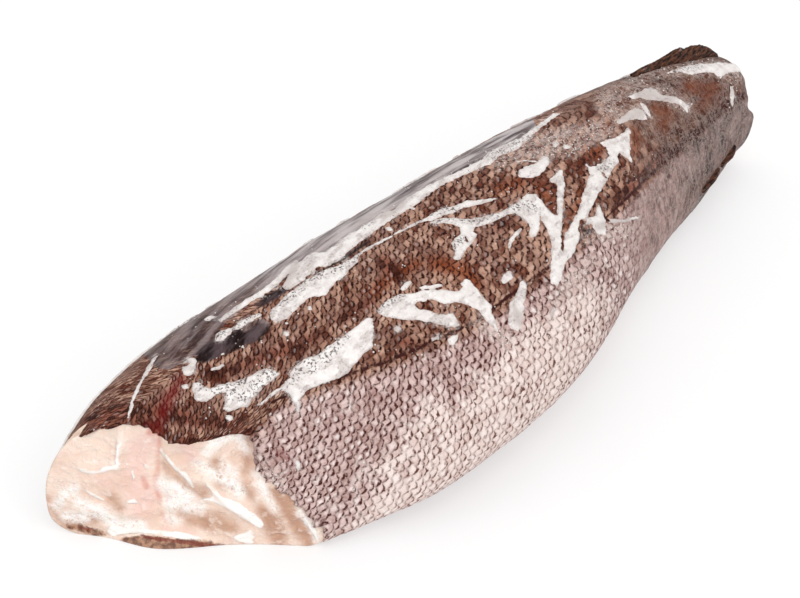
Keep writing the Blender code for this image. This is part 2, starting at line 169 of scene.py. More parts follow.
# Outlines of the ice on the skin, in photo pixels
ICE_SHAPES = (
    # the wide ribbon along the middle of the flank, with its spike
    ((373, 317), (375, 329), (373, 347), (364, 353), (356, 363), (349, 372), (339, 378), (332, 380),
     (321, 384), (309, 389), (304, 394), (300, 398), (300, 408), (299, 416), (296, 406), (292, 400),
     (289, 394), (282, 390), (281, 386), (288, 379), (290, 373), (297, 364), (306, 357), (319, 354),
     (327, 345), (335, 341), (343, 336), (354, 327), (362, 320), (369, 316)),
    # the patch behind it, towards the head
    ((198, 380), (193, 382), (192, 387), (194, 397), (197, 401), (208, 400), (218, 393), (226, 392),
     (225, 400), (224, 408), (228, 411), (239, 408), (249, 406), (253, 398), (260, 391), (264, 386),
     (274, 380), (281, 373), (274, 370), (265, 368), (256, 372), (244, 378), (231, 381), (220, 384),
     (209, 388), (202, 383)),
    ((225, 414), (234, 416), (234, 420), (228, 421)),
    ((260, 404), (270, 394), (281, 386), (282, 388), (271, 397), (262, 406)),
    # a ring and small bars near the nape
    ((189, 357), (195, 356), (197, 359), (195, 365), (194, 372), (189, 375), (183, 373), (181, 367),
     (182, 362)),
    ((211, 370), (211, 367), (217, 365), (223, 363), (225, 365), (218, 369)),
    ((126, 425), (127, 412), (131, 396), (139, 380), (146, 366), (153, 356), (158, 353), (153, 362),
     (147, 372), (141, 382), (134, 398), (130, 412), (128, 426)),
    ((181, 384), (188, 383), (189, 387), (183, 388)),
    # the ribbons along the top of the back
    ((214, 337), (215, 333), (219, 329), (225, 327), (232, 326), (240, 320), (250, 315), (261, 311),
     (262, 314), (250, 321), (241, 326), (233, 329), (228, 334), (222, 338), (217, 339)),
    ((217, 318), (226, 311), (242, 300), (262, 287), (276, 276), (285, 267), (296, 258), (298, 260),
     (288, 272), (279, 282), (262, 293), (243, 305), (227, 316), (220, 320)),
    ((203, 318), (210, 314), (213, 315), (208, 319)),
    ((269, 313), (271, 309), (277, 303), (287, 293), (296, 286), (304, 280), (310, 276), (320, 270),
     (330, 266), (340, 263), (351, 257), (360, 250), (360, 254), (357, 261), (350, 267), (344, 275),
     (337, 280), (331, 285), (327, 293), (322, 295), (316, 295), (307, 297), (302, 303), (294, 310),
     (287, 318), (279, 320), (271, 319)),
    ((284, 287), (281, 284), (287, 275), (291, 267), (300, 260), (310, 252), (317, 250), (325, 251),
     (331, 246), (337, 241), (345, 235), (356, 229), (363, 224), (371, 220), (377, 214), (385, 210),
     (392, 210), (399, 203), (409, 195), (420, 189), (429, 183), (441, 177), (462, 168), (480, 159),
     (488, 151), (500, 145), (513, 139), (523, 135), (533, 127), (543, 119), (553, 111), (560, 111),
     (551, 118), (541, 126), (533, 133), (523, 142), (520, 146), (511, 150), (500, 154), (491, 162),
     (480, 166), (464, 173), (446, 181), (429, 192), (420, 200), (411, 206), (397, 214), (392, 218),
     (380, 226), (368, 234), (360, 240), (350, 247), (340, 257), (330, 263), (317, 267), (310, 272),
     (299, 281), (290, 287)),
    # the leaf on the flank, and the small strips beside it
    ((377, 309), (383, 302), (390, 297), (400, 293), (412, 292), (420, 290), (432, 288), (443, 288),
     (454, 290), (460, 289), (464, 285), (461, 282), (467, 278), (471, 279), (476, 285), (482, 293),
     (489, 301), (494, 305), (493, 313), (497, 320), (500, 331), (497, 330), (490, 322), (485, 316),
     (478, 309), (471, 305), (465, 302), (457, 301), (448, 302), (440, 301), (436, 298), (430, 297),
     (425, 300), (418, 301), (414, 303), (419, 308), (429, 309), (437, 312), (446, 314), (450, 312),
     (454, 313), (457, 317), (460, 324), (457, 326), (448, 325), (440, 323), (430, 321), (420, 319),
     (409, 319), (400, 318), (388, 316), (381, 313)),
    ((418, 287), (419, 285), (430, 284), (441, 282), (444, 283), (443, 285), (433, 287), (423, 288)),
    ((401, 288), (404, 282), (411, 279), (413, 281), (408, 286), (404, 289)),
    ((432, 337), (436, 335), (441, 334), (440, 338), (434, 340)),
    ((448, 338), (453, 334), (460, 334), (458, 340), (454, 345), (450, 343)),
    ((502, 280), (504, 274), (510, 269), (513, 271), (514, 276), (510, 281), (504, 283)),
    ((521, 281), (525, 280), (529, 284), (528, 294), (526, 302), (525, 316), (523, 324), (520, 330),
     (513, 329), (509, 323), (510, 315), (511, 302), (516, 295), (520, 288)),
    ((553, 309), (555, 306), (558, 308), (555, 316), (552, 320)),
    ((509, 245), (510, 238), (516, 231), (521, 226), (523, 228), (517, 235), (513, 242), (511, 249)),
    # the forked band on the back
    ((420, 219), (430, 213), (440, 208), (448, 206), (457, 203), (468, 199), (479, 198), (489, 197),
     (497, 196), (496, 198), (486, 201), (476, 203), (467, 205), (461, 207), (454, 211), (443, 214),
     (432, 219)),
    ((360, 250), (370, 244), (390, 234), (420, 218.5), (422, 220), (391, 235.5), (371, 246), (361, 252)),
    ((430, 221), (437, 218), (443, 217), (454, 216), (461, 218), (472, 217), (482, 215), (492, 213),
     (502, 210), (510, 205), (517, 202), (521, 199), (526, 203), (522, 210), (518, 211), (510, 212),
     (500, 217), (492, 221), (482, 224), (476, 226), (473, 231), (478, 233), (475, 239), (468, 246),
     (464, 253), (461, 259), (454, 257), (455, 249), (452, 242), (454, 238), (461, 233), (460, 226),
     (454, 223), (446, 221), (437, 222)),
    # the two great forks and the lobe
    ((520, 199), (527, 193), (536, 192), (539, 195), (544, 202), (549, 209), (555, 214), (558, 214),
     (558, 206), (558, 195), (558.5, 185), (556, 181), (550, 179), (556, 173), (561, 168), (563.5, 169),
     (564, 177), (566, 183), (565, 193), (564, 203), (563.5, 217), (563, 230), (562.5, 248), (565, 250),
     (565.5, 234), (571, 226), (576, 217), (580, 209), (583, 198), (585, 190), (588, 182), (590.5, 173),
     (589, 167), (587, 163), (592, 166), (600, 163), (608, 159), (611, 154), (607, 146), (600, 141),
     (607, 139), (616, 137), (621, 133), (625, 132), (628, 127), (630, 126), (631.5, 130), (631, 139),
     (631, 149), (633, 161), (628, 157), (621, 151), (619, 155), (620, 161), (613, 170), (607, 182),
     (600, 193), (597, 199), (592, 209), (589, 217), (581, 219), (580, 227), (582, 235), (579, 244),
     (576, 251), (568, 261), (565, 267), (563, 277), (559, 285), (552, 283), (551, 275), (553, 267),
     (553, 257), (553, 245), (551, 234), (547, 225), (541, 215), (541, 227), (537, 235), (532, 235),
     (530, 231), (532, 225), (529, 221), (524, 215), (516, 211), (520, 204)),
    ((600, 201), (603, 209), (608, 219), (608, 225), (607, 234), (600, 233), (595, 226), (593, 223),
     (587, 224), (589, 217), (597, 215)),
    ((612, 218), (626, 219), (638, 216), (640, 218), (626, 222), (612, 222)),
    ((520, 168), (527, 165), (535, 162), (540, 158), (544, 154), (548, 153), (550, 157), (549, 163),
     (545, 169), (539, 174), (531, 176), (523, 176), (519, 174)),
    ((517, 159), (527, 158), (538, 159), (538, 160.5), (527, 159.5), (517, 160.5)),
    ((564, 142), (568, 144), (572, 145), (571, 147), (565, 146)),
    ((552, 141), (557, 139), (560, 142), (556, 145)),
    # towards the tail
    ((619, 121), (618, 119), (622, 116), (627, 112), (632, 108), (640, 107), (646, 112), (649, 118),
     (643, 119), (636, 118), (628, 120), (622, 122)),
    ((628, 94), (640, 90), (645, 87), (652, 86), (659, 89), (663, 94), (672, 95), (679, 96), (684, 100),
     (690, 105), (690, 114), (686, 108), (680, 103), (672, 101), (662, 99), (652, 98), (642, 96),
     (634, 97)),
    ((641, 100), (648, 104), (653, 117), (649, 113), (643, 104)),
    ((732, 85), (735, 86), (736, 102), (734, 106), (732, 98)),
    ((668, 71), (680, 66), (690, 63), (705, 62), (722, 61), (735, 62), (745, 67), (747, 73), (738, 70),
     (728, 72), (722, 77), (716, 71), (704, 71), (692, 73), (680, 70)),
    # crumbs of ice
    ((283, 333), (287, 330), (290, 333), (286, 337)),
    ((284, 321), (287, 320), (288, 322), (285, 323)),
    ((307, 306), (311, 305), (312, 308), (308, 309)),
    ((385, 226), (390, 225), (394, 228), (393, 230), (388, 229)),
    ((411, 206), (414, 205), (415, 208), (412, 208)),
    ((220, 352), (224, 351), (225, 353), (221, 354)),
    ((245, 411), (248, 410), (249, 413), (246, 414)),
    ((242, 344), (244, 344), (244, 347), (241, 346)),
    ((395, 327), (399, 325), (402, 328), (399, 331), (396, 330)),
    ((296, 462), (299, 460), (301, 466), (299, 471), (296, 468)),
)
ICE_HOLES = (
    ((466, 236, 1.5), (468, 240, 1)),
    ((185, 363, 2), (189, 362, 1.2)),
    ((563.8, 231, 0.7), (564.2, 247, 1.1)),
    ((604, 172, 1), (608, 177, 0.8)),
)

# Strokes where the ice is thin enough for the dark skin to show through as specks
ICE_SPECKS = (
    ((286, 384, 6), (297, 372, 9), (312, 364, 9), (324, 356, 8), (334, 346, 6), (346, 336, 4)),
    ((200, 386, 3), (228, 392, 8), (244, 390, 12), (262, 380, 8), (274, 373, 5)),
    ((215, 334, 4), (232, 326, 4), (258, 312, 3)),
    ((282, 303, 3), (296, 291, 5), (312, 277, 4), (330, 270, 6), (346, 262, 5), (356, 254, 4)),
    ((380, 306, 4), (392, 299, 5), (404, 295, 2)),
    ((426, 216, 2), (444, 210, 3), (456, 208, 3)),
    ((440, 219, 2), (470, 220, 4), (500, 213, 3), (514, 207, 4), (528, 204, 5), (540, 210, 3)),
    ((456, 244, 4), (464, 238, 3)),
    ((600, 170, 3), (612, 162, 3)),
    ((490, 155, 3), (510, 146, 3), (530, 136, 2)),
    ((668, 70, 4), (700, 66, 2)),
    ((364, 226, 3), (372, 221, 2)),
)
# Strokes where the ice is clear enough to look grey
ICE_CLEAR = (
    ((284, 283, 6), (292, 272, 5), (296, 263, 3)),
    ((385, 214, 5), (402, 204, 4)),
    ((520, 320, 6), (514, 306, 2)),
    ((434, 338, 5), (436, 336, 5)),
    ((186, 362, 5), (186, 368, 2)),
    ((640, 92, 6), (672, 98, 5)),
    ((620, 119, 3), (640, 112, 6)),
    ((400, 328, 5), (398, 328, 5)),
    ((555, 312, 6), (555, 310, 6)),
    ((470, 221, 2), (490, 216, 2)),
    ((600, 226, 4), (626, 220, 6)),
)

# Soft patches on the skin, in photo pixels: smooth grey film, black wet hollows, blood, rust brown, frost
# dust, dark back, pale belly
FILM = (
    ((140, 350), (165, 325), (185, 305), (210, 290), (240, 272), (270, 255), (310, 232), (350, 210),
     (400, 180), (450, 152), (480, 134), (530, 112), (538, 128), (490, 155), (440, 180), (390, 210),
     (350, 236), (330, 250), (300, 268), (270, 287), (245, 303), (225, 320), (213, 338), (200, 350),
     (182, 361), (168, 368), (156, 366)),
    ((240, 330, 8), (262, 326, 8)),
)
HOLLOWS = (
    ((193, 352), (206, 340), (222, 334), (245, 330), (262, 320), (270, 326), (262, 338), (240, 346),
     (222, 354), (204, 362), (194, 360)),
    ((258, 303, 3), (266, 297, 5), (280, 289, 4), (300, 279, 1.5)),
    ((310, 274, 1), (322, 268, 1.2), (340, 258, 2), (352, 250, 2.5), (368, 240, 1.5)),
    ((235, 332, 3), (242, 325, 2)),
    ((205, 350, 6), (225, 345, 8), (240, 342, 5)),
    ((586, 229, 2), (592, 230, 2.5)),
)
BLOOD = (
    ((160, 428, 3), (160, 418, 4), (165, 405, 5), (172, 392, 6), (180, 380, 4), (187, 370, 2)),
    ((280, 452, 2), (290, 462, 3), (292, 478, 2)),
    ((150, 423, 3), (158, 430, 2)),
)
RUST = (
    ((540, 186, 5), (548, 195, 6), (553, 206, 3)),
    ((588, 150, 5), (600, 150, 6)),
    ((636, 130, 5), (637, 150, 4)),
    ((655, 104, 4), (668, 112, 6), (664, 126, 5)),
    ((690, 86, 6), (712, 88, 8), (705, 104, 6)),
    ((436, 262, 8), (462, 268, 8), (480, 284, 5)),
    ((372, 292, 5), (396, 272, 7), (418, 262, 5)),
    ((520, 182, 6), (500, 188, 5)),
    ((604, 126, 5), (610, 122, 3)),
    ((560, 240, 1), (588, 196, 8)),
)
DUST = (
    ((500, 160, 8), (530, 146, 10), (570, 140, 16), (606, 126, 10)),
    ((610, 100, 14), (640, 84, 8)),
    ((590, 236, 6), (625, 230, 9)),
    ((634, 74, 5), (660, 68, 6), (690, 66, 7), (720, 67, 7), (742, 76, 6)),
    ((640, 96, 5), (664, 90, 6), (688, 104, 5)),
    ((614, 118, 5), (640, 106, 6)),
    ((247, 433, 1.5), (255, 444, 2.5), (266, 463, 3), (282, 484, 3), (297, 502, 3), (312, 522, 3),
     (319, 542, 2)),
    ((480, 322, 8), (506, 338, 8)),
    ((560, 300, 8), (590, 262, 8)),
)
DARK = (
    ((80, 422, 8), (110, 412, 10), (150, 410, 10), (205, 420, 10), (245, 425, 8)),
    ((200, 374, 4), (240, 366, 6), (285, 350, 9), (320, 334, 6)),
    ((385, 262, 10), (400, 276, 6)),
    ((500, 222, 7), (520, 214, 3)),
    ((250, 440, 4), (262, 460, 3)),
    ((400, 340, 8), (420, 345, 4)),
    ((625, 196, 8), (648, 172, 7), (668, 150, 7)),
    ((340, 318, 6), (370, 300, 7)),
    ((700, 192, 4), (716, 174, 5), (730, 158, 4), (744, 140, 4)),
)
PALE = (
    ((330, 545, 4), (380, 520, 16), (430, 480, 28), (490, 430, 40), (550, 365, 44), (590, 310, 24)),
    ((390, 470, 14), (440, 420, 18)),
)

# Shapes and strokes on the flesh of the head cut, in photo pixels
TENDONS = (
    ((202, 481), (207, 482), (214, 488), (222, 497), (230, 499), (240, 503), (246, 508), (254, 513),
     (261, 519), (264, 524), (263, 527), (260, 529), (250, 523), (240, 517), (230, 511), (220, 505),
     (213, 502), (206, 501), (200, 500), (207, 498), (213, 497), (211, 491), (206, 486)),
    ((231, 538), (237, 534), (245, 532), (251, 529), (253, 535), (255, 537), (252, 540), (254, 543),
     (250, 545), (243, 543), (236, 541)),
    ((106, 532), (110, 525), (124, 527), (140, 528), (158, 530), (180, 531), (190, 534), (197, 536),
     (202, 539), (203, 542), (200, 543), (190, 541), (178, 539), (160, 535), (140, 533), (125, 534),
     (112, 537)),
    ((299, 513), (304, 515), (310, 522), (316, 530), (318, 538), (319, 543), (316, 540), (311, 531),
     (305, 524), (300, 517)),
    ((120, 431), (123, 431), (122.5, 445), (119.5, 447), (119, 460), (121, 470), (118, 468), (115, 462),
     (115.5, 446), (118, 437)),
    ((77, 467), (88, 471), (97, 471), (105, 466), (114, 465), (120, 470), (112, 470), (103, 473), (92, 474),
     (81, 472)),
    ((160, 450, 1), (167, 458, 2), (175, 468, 2.2), (184, 476, 1.8), (193, 487, 0.8)),
    ((185, 472, 1), (190, 482, 1.6), (194, 488, 0.7)),
    ((84, 484, 0.7), (88, 492, 1.3), (97, 497, 1.8), (104, 500, 1)),
    ((132, 471, 1), (134, 477, 1.6), (133, 480, 0.6)),
    ((128, 502, 1.5), (134, 501, 2.2), (137, 503, 1)),
    ((123, 447, 0.5), (125, 458, 0.7), (128, 468, 0.5)),
    ((146, 466, 2), (152, 470, 1.5)),
)
FLESH_FROST = (
    ((206, 452, 3), (213, 444, 6), (225, 438, 6), (237, 436, 5), (246, 450, 3)),
    ((195, 463, 2), (210, 472, 3), (225, 480, 3), (235, 484, 5), (240, 492, 4)),
    ((225, 466, 3), (236, 474, 2)),
    ((256, 474, 3), (262, 484, 4), (266, 496, 3), (274, 508, 2)),
    ((164, 484, 5), (175, 492, 8), (188, 498, 6), (172, 503, 8)),
    ((186, 508, 4), (200, 508, 4)),
    ((168, 517, 4), (176, 522, 4)),
    ((56, 506, 4), (66, 494, 6), (74, 490, 5)),
    ((78, 502, 6), (90, 508, 6), (104, 514, 5), (116, 524, 6), (140, 526, 6)),
    ((66, 516, 4), (85, 516, 6)),
    ((262, 466, 2), (272, 474, 3), (280, 480, 2)),
    ((298, 508, 1), (310, 524, 2), (317, 540, 2)),
)
FLESH_TAN = (
    ((274, 490, 6), (290, 505, 12), (302, 528, 10), (310, 542, 6)),
    ((262, 510, 6), (275, 528, 10), (280, 542, 8)),
    ((190, 520, 4), (215, 522, 10), (232, 528, 6)),
    ((246, 456, 4), (248, 462, 4), (243, 474, 2)),
    ((163, 463, 1), (172, 472, 2.5), (180, 481, 2.5), (190, 489, 3.5), (204, 493, 4)),
    ((112, 498, 5), (120, 508, 3)),
    ((48, 500, 3), (55, 514, 3), (68, 526, 5), (85, 524, 5), (98, 518, 4)),
    ((216, 462, 4), (220, 484, 3), (246, 486, 5), (252, 496, 3)),
    ((180, 512, 4), (194, 516, 3)),
)
FLESH_RED = (
    ((150, 432, 3), (158, 430, 3.5), (162, 433, 2)),
    ((160, 436, 1), (159, 448, 0.8), (158, 456, 0.8), (158, 470, 1.4), (156, 478, 2), (157, 488, 1.6),
     (159, 496, 2), (161, 502, 0.8)),
    ((162, 512, 1), (164, 518, 1.6), (167, 521, 0.8)),
    ((143, 478, 1), (146, 486, 2)),
)
FLESH_PINK = (
    ((150, 440, 8), (140, 450, 10), (130, 480, 10), (145, 500, 12), (140, 516, 8)),
    ((112, 486, 8), (104, 480, 6)),
    ((186, 440, 6), (190, 456, 8)),
    ((166, 530, 3), (185, 532, 3)),
)
BELLY_LINING = (
    ((122, 540, 2), (138, 542, 6), (160, 544, 7), (185, 546, 6.5), (205, 546, 5), (225, 547.5, 2.6),
     (242, 549, 1)),
    ((68, 526, 1), (78, 528, 3.5), (92, 532, 4), (106, 534, 2)),
)
BLOOD_LINE = (((140, 535, 0.6), (158, 539, 1.6), (180, 541.5, 2), (205, 545, 2), (225, 547, 1)),
              ((80, 527, 0.8), (88, 530, 1.8), (94, 528, 0.8)))

# Strokes on the flesh of the tail cut, as (y, z, half width) in millimetres
TAIL_TENDONS = (
    ((-12, 32, 0.6), (0, 31, 0.9), (13, 32, 0.6)),
    ((1, 45, 0.5), (2, 38, 0.8), (1, 30, 0.6), (-1, 14, 0.6)),
    ((-9, 24, 0.5), (-4, 19, 0.8), (2, 20, 0.5)),
)
TAIL_FROST = (((-8, 12, 2), (2, 9, 3), (9, 14, 2)), ((6, 44, 2), (10, 40, 1.5)))
TAIL_RED = (((1, 30, 1.2), (2, 26, 1.0)),)

# Fin stubs, folded down along the body: places along the fish with the height there
DORSAL_SHARE = 0.985
DORSAL_FOLDS = (
    ((333, 0.3), (339, 1.4), (350, 2.2), (358, 3.6), (364, 4.9), (368, 5.2), (371, 4.2), (376, 4.9),
     (383, 4.8), (390, 3.0), (396, 0.4)),
)
ANAL_SHARE = 0.345
ANAL_FOLDS = (
    ((338, 0.1), (343, 0.7), (348, 1.1), (353, 0.8), (357, 0.1)),
    ((361, 0.1), (365, 0.9), (369, 1.5), (373, 1.1), (377, 0.1)),
)
FIN_STEP = 0.6
FIN_HALF = 1.1
FIN_LEVELS = (-3.0, 0.0, 0.25, 0.5, 0.75, 1.0)
FIN_LEAST_TIP = 0.93
FIN_GROOVE = 0.14
FIN_THINNING = 0.68
FIN_LEAN = 0.6

# How deep the skin lies under the solid's surface, and how high its forms and the ice stand on it, in
# millimetres. The ice goes on under the skin for some of the photograph's pixels beyond its outlines.
SINK = 1.1
LEAST_UNDER = 0.15
SCALE_HEIGHT = 0.22
LINE_DEPTH = 0.45
LINE_HALF = 1.4
FILM_HEIGHT = 0.25
HOLLOW_DEPTH = 0.5
ICE_THICK = 0.75
ICE_LUMPS = 0.14
ICE_EDGE = 0.35
ICE_SKIRT_SLOPE = 1.2
ICE_UNDER = 0.03
ICE_BELOW_SKIN = 0.9
ICE_OFF_FLOOR = 0.05
ICE_SKIRT_PIXELS = 1.6

# The walls that close the skin inside the flesh, in millimetres: how far in and how far from the ends
WALL_IN = 0.9
WALL_DEEP_IN = 2.2
FRONT_WALL = 7.0
FRONT_MIDDLE = 14.0
REAR_WALL = 5.0
REAR_MIDDLE = 6.0

# The flesh of the two ends, in millimetres: how deep it goes, how far in its rim and its back's rim lie, what
# the skin's cover adds to both, and how its rim is rounded and lowered onto the floor
HEAD_DEEP = 22.0
TAIL_DEEP = 14.0
RIM_IN = 0.25
RIM_IN_COVERED = 1.25
BACK_IN = 1.5
BACK_IN_COVERED = 1.5
BACK_OFF_FLOOR = 0.6
RIM_ROUND = 3.0
RIM_LOWERED = 0.3
RIM_LOWERED_BELOW = 4
RIM_CLEAR = 0.6
SAME_POINT = 1e-6

# On the tail cut, pixels for a millimetre, and the distances that stand for no mark and for a faint one
PIXELS_A_MM = 2.4
NO_MARK = 40.0
FAINT_MARK = 4.0

# How far the marks of the seen flank are moved along on the other one, as parts of the length
SLIP = 0.08
SLIP_BELOW = 0.10
SLIP_WAVE = 0.03
SLIP_WAVES = 40

# How far from a mark its distance is still worked out, in the photograph's pixels
MARK_REACH = 30.0
ICE_REACH = 8


# ---------------------------------------------------------------- the form


def ease(value):
    """A soft step from 0 to 1."""
    t = np.clip(value, 0.0, 1.0)
    return t * t * (3 - 2 * t)


def bump(value, middle, reach):
    """A soft mound of height 1 around the middle."""
    return np.exp(-(((value - middle) / reach) ** 2))


def station_at(at):
    """The section sizes at any place along the fish, on a smooth curve through the stations."""
    table = np.array(STATIONS, dtype=float)
    places = table[:, 0]
    at = float(np.clip(at, places[0], places[-1]))
    k = int(np.clip(np.searchsorted(places, at) - 1, 0, len(places) - 2))
    slopes = np.gradient(table, places, axis=0)
    span = places[k + 1] - places[k]
    t = (at - places[k]) / span
    sizes = (
        table[k] * (1 + 2 * t) * (1 - t) ** 2
        + slopes[k] * span * t * (1 - t) ** 2
        + table[k + 1] * t * t * (3 - 2 * t)
        + slopes[k + 1] * span * t * t * (t - 1)
    )
    return Station(*sizes)


def quarter(fullness):
    """Sine and cosine like runs of a quarter of a superellipse."""
    angle = np.linspace(0, math.pi / 2, QUARTER_STEPS, endpoint=False)
    return np.sin(angle) ** (2 / fullness), np.cos(angle) ** (2 / fullness)


def inward_of(ring):
    """The directions into a ring of (y, z) points that goes from the crown down the left flank."""
    along = np.roll(ring, -1, axis=0) - np.roll(ring, 1, axis=0)
    inward = np.stack([-along[:, 1], along[:, 0]], axis=1)
    return inward / np.linalg.norm(inward, axis=1)[:, None]


def section(at):
    """The outline at one place, as evenly spaced (y, z) points from the crown down the left flank."""
    s = station_at(at)
    floor = -PRESSED + (TAIL_LIFT + PRESSED) * ease((at - LIFT_FROM) / LIFT_RUN)
    rise, run = quarter(s.near_full)
    near_top = (s.crown + (s.near - s.crown) * rise, s.near_z + (s.top - s.near_z) * run)
    rise, run = quarter(NEAR_UNDER_FULL)
    near_under = (s.keel + (s.near - s.keel) * run, floor + (s.near_z - floor) * (1 - rise))
    rise, run = quarter(s.under_full)
    far_under = (s.keel + (s.far - s.keel) * rise, floor + (s.far_z - floor) * (1 - run))
    rise, run = quarter(s.far_full)
    far_top = (s.crown + (s.far - s.crown) * run, s.far_z + (s.top - s.far_z) * rise)
    ring = np.hstack([near_top, near_under, far_under, far_top]).T
    ring[:, 1] = np.maximum(ring[:, 1], 0.0)
    ring = np.vstack([ring, ring[:1]])
    gone = np.concatenate([[0.0], np.cumsum(np.linalg.norm(np.diff(ring, axis=0), axis=1))])
    wanted = np.linspace(0, gone[-1], AROUND, endpoint=False)
    even = np.stack([np.interp(wanted, gone, ring[:, k]) for k in (0, 1)], axis=1)
    depth = FURROW_DEPTH * ease((at - FURROW_FROM) / FURROW_RUN)
    sunk = sum(depth * bump(SHARES, share, FURROW_REACH) for share in FURROW_SHARES)
    return even + inward_of(even) * sunk[:, None]


RING_PLACES = np.arange(STATIONS[0].at - 6, STATIONS[-1].at + 6, RING_PITCH)
RINGS = np.array([section(place) for place in RING_PLACES])


def on_skin(at):
    """The (y, z) of every line along the skin, each read at its own place along the fish."""
    row = np.clip((np.asarray(at) - RING_PLACES[0]) / RING_PITCH, 0, len(RING_PLACES) - 1.001)
    low = row.astype(int)
    part = (row - low)[:, None]
    k = np.arange(AROUND)
    return RINGS[low, k] * (1 - part) + RINGS[low + 1, k] * part


def ridge(y, z, line):
    """A rounded ridge, or a groove where its height is negative, along one straight line of the cut."""
    y0, z0, y1, z1, reach, height = line
    run = (y1 - y0) ** 2 + (z1 - z0) ** 2
    t = np.clip(((y - y0) * (y1 - y0) + (z - z0) * (z1 - z0)) / run, 0.0, 1.0)
    away = np.hypot(y - y0 - t * (y1 - y0), z - z0 - t * (z1 - z0))
    return height * bump(away, 0.0, reach)


def swell(y, z, mounds):
    """How far the mounds of an end stand out of it, negative where they sink in."""
    return sum(m.height * bump(y, m.y, m.reach_y) * bump(z, m.z, m.reach_z) for m in mounds)


def cut_at(y, z):
    """Where the head cut lies, with its relief."""
    plane = CUT_CORNER_AT - (y - CUT_CORNER_Y) * CUT_SKEW
    return plane - swell(y, z, CUT_MOUNDS) - sum(ridge(y, z, line) for line in FACE_RIDGES)


def tail_at(y, z):
    """Where the tail cut lies, shorter towards the belly."""
    plane = TAIL_AT - TAIL_SLANT * np.maximum(TAIL_SQUARE_ABOVE - z, 0.0)
    return plane + swell(y, z, TAIL_MOUNDS)


def end_ring(surface, start):
    """The places along the fish where the skin's lines meet an end surface."""
    places = np.full(AROUND, float(start))
    for _ in range(60):
        y, z = on_skin(places).T
        places += 0.5 * (surface(y, z) - places)
    return places


def row_frame(points):
    """Millimetres along and across the fish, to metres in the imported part's frame."""
    return (np.asarray(points, float) - MIDDLE) * MM


# The skin as a net: rows along the fish, columns round it
first_edge = end_ring(cut_at, 30)
last_edge = end_ring(tail_at, TAIL_AT)
level_edge = CUT_CORNER_AT - (on_skin(first_edge)[:, 0] - CUT_CORNER_Y) * CUT_SKEW


def net_row(t):
    """The places of one row of the net, t going from the head cut to the tail cut."""
    return level_edge + (last_edge - level_edge) * t + (first_edge - level_edge) * (1 - t) ** EDGE_FADE


NET_AT = np.array([net_row(row / ALONG) for row in range(ALONG + 1)])
NET = np.array([np.column_stack([places, on_skin(places)]) for places in NET_AT])
low_corner = NET.min(axis=(0, 1))
high_corner = NET.max(axis=(0, 1))
box_low, box_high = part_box(NODE)
MIDDLE = np.array([
    (low_corner[0] + high_corner[0]) / 2 - (box_low[0] + box_high[0]) / 2 / MM,
    (low_corner[1] + high_corner[1]) / 2 - (box_low[1] + box_high[1]) / 2 / MM,
    -box_low[2] / MM,
])


def net_normals(net):
    """Outward directions at every point of a net."""
    round_way = np.roll(net, -1, axis=1) - np.roll(net, 1, axis=1)
    along_way = np.gradient(net, axis=0)
    out = np.cross(round_way, along_way)
    return out / np.linalg.norm(out, axis=2)[:, :, None]


NORMALS = net_normals(NET)


# ---------------------------------------------------------------- the photographer's view


def camera_axes():
    """Where the camera stands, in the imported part's frame, and its right, up and forward directions."""
    turn = math.radians(CAMERA_TURN)
    rise = math.radians(CAMERA_RISE)
    back = np.array([math.sin(turn) * math.cos(rise), -math.cos(turn) * math.cos(rise), math.sin(rise)])
    aim = row_frame((AIM_AT, 0.0, AIM_Z))
    right = np.cross(-back, (0, 0, 1.0))
    right /= np.linalg.norm(right)
    return aim + back * CAMERA_AWAY, right, np.cross(right, -back), -back


EYE, EYE_RIGHT, EYE_UP, EYE_AHEAD = camera_axes()


def on_photo(points):
    """Where millimetre points of the fish show in the photograph, in its pixels."""
    away = row_frame(points) - EYE
    deep = away @ EYE_AHEAD
    x = PHOTO_SIZE[0] / 2 + PIXELS_PER_RADIAN * (away @ EYE_RIGHT) / deep
    y = PHOTO_SIZE[1] / 2 - PIXELS_PER_RADIAN * (away @ EYE_UP) / deep
    return np.stack([x, y], axis=-1)


def outside(spots, shapes, reach=MARK_REACH):
    """How far each spot lies outside the nearest shape, negative inside it, and never more than reach. A
    shape is an outline of (x, y) corners, or a stroke of (x, y, half width) knots."""
    flat = spots.reshape(-1, 2)
    nearest = np.full(len(flat), float(reach))
    for shape in shapes:
        knots = np.array(shape, float)
        stroke = knots.shape[1] == 3
        half = knots[:, 2] if stroke else np.zeros(len(knots))
        margin = reach + half.max()
        low, high = knots[:, :2].min(axis=0) - margin, knots[:, :2].max(axis=0) + margin
        near = np.nonzero(np.all((flat > low) & (flat < high), axis=1))[0]
        x, y = flat[near].T
        best = np.full(len(near), np.inf)
        inside = np.zeros(len(near), bool)
        for k in range(len(knots) - 1 if stroke else len(knots)):
            x0, y0 = knots[k, :2]
            x1, y1 = knots[(k + 1) % len(knots), :2]
            r0, r1 = half[k], half[(k + 1) % len(knots)]
            run = max((x1 - x0) ** 2 + (y1 - y0) ** 2, 1e-6)
            t = np.clip(((x - x0) * (x1 - x0) + (y - y0) * (y1 - y0)) / run, 0.0, 1.0)
            away = np.hypot(x - x0 - t * (x1 - x0), y - y0 - t * (y1 - y0)) - r0 - (r1 - r0) * t
            best = np.minimum(best, away)
            if not stroke and y0 != y1:
                inside ^= ((y0 > y) != (y1 > y)) & (x < x0 + (x1 - x0) * (y - y0) / (y1 - y0))
        nearest[near] = np.minimum(nearest[near], np.where(inside, -best, best))
    return nearest.reshape(spots.shape[:-1])


def wobble(points, size, seed):
    """Soft noise from -1 to 1 at millimetre points."""
    flat = np.asarray(points, float).reshape(-1, 3) / size + seed * 17.3
    values = np.fromiter((noise.noise(Vector(p)) for p in flat), float, len(flat))
    return values.reshape(np.asarray(points).shape[:-1])


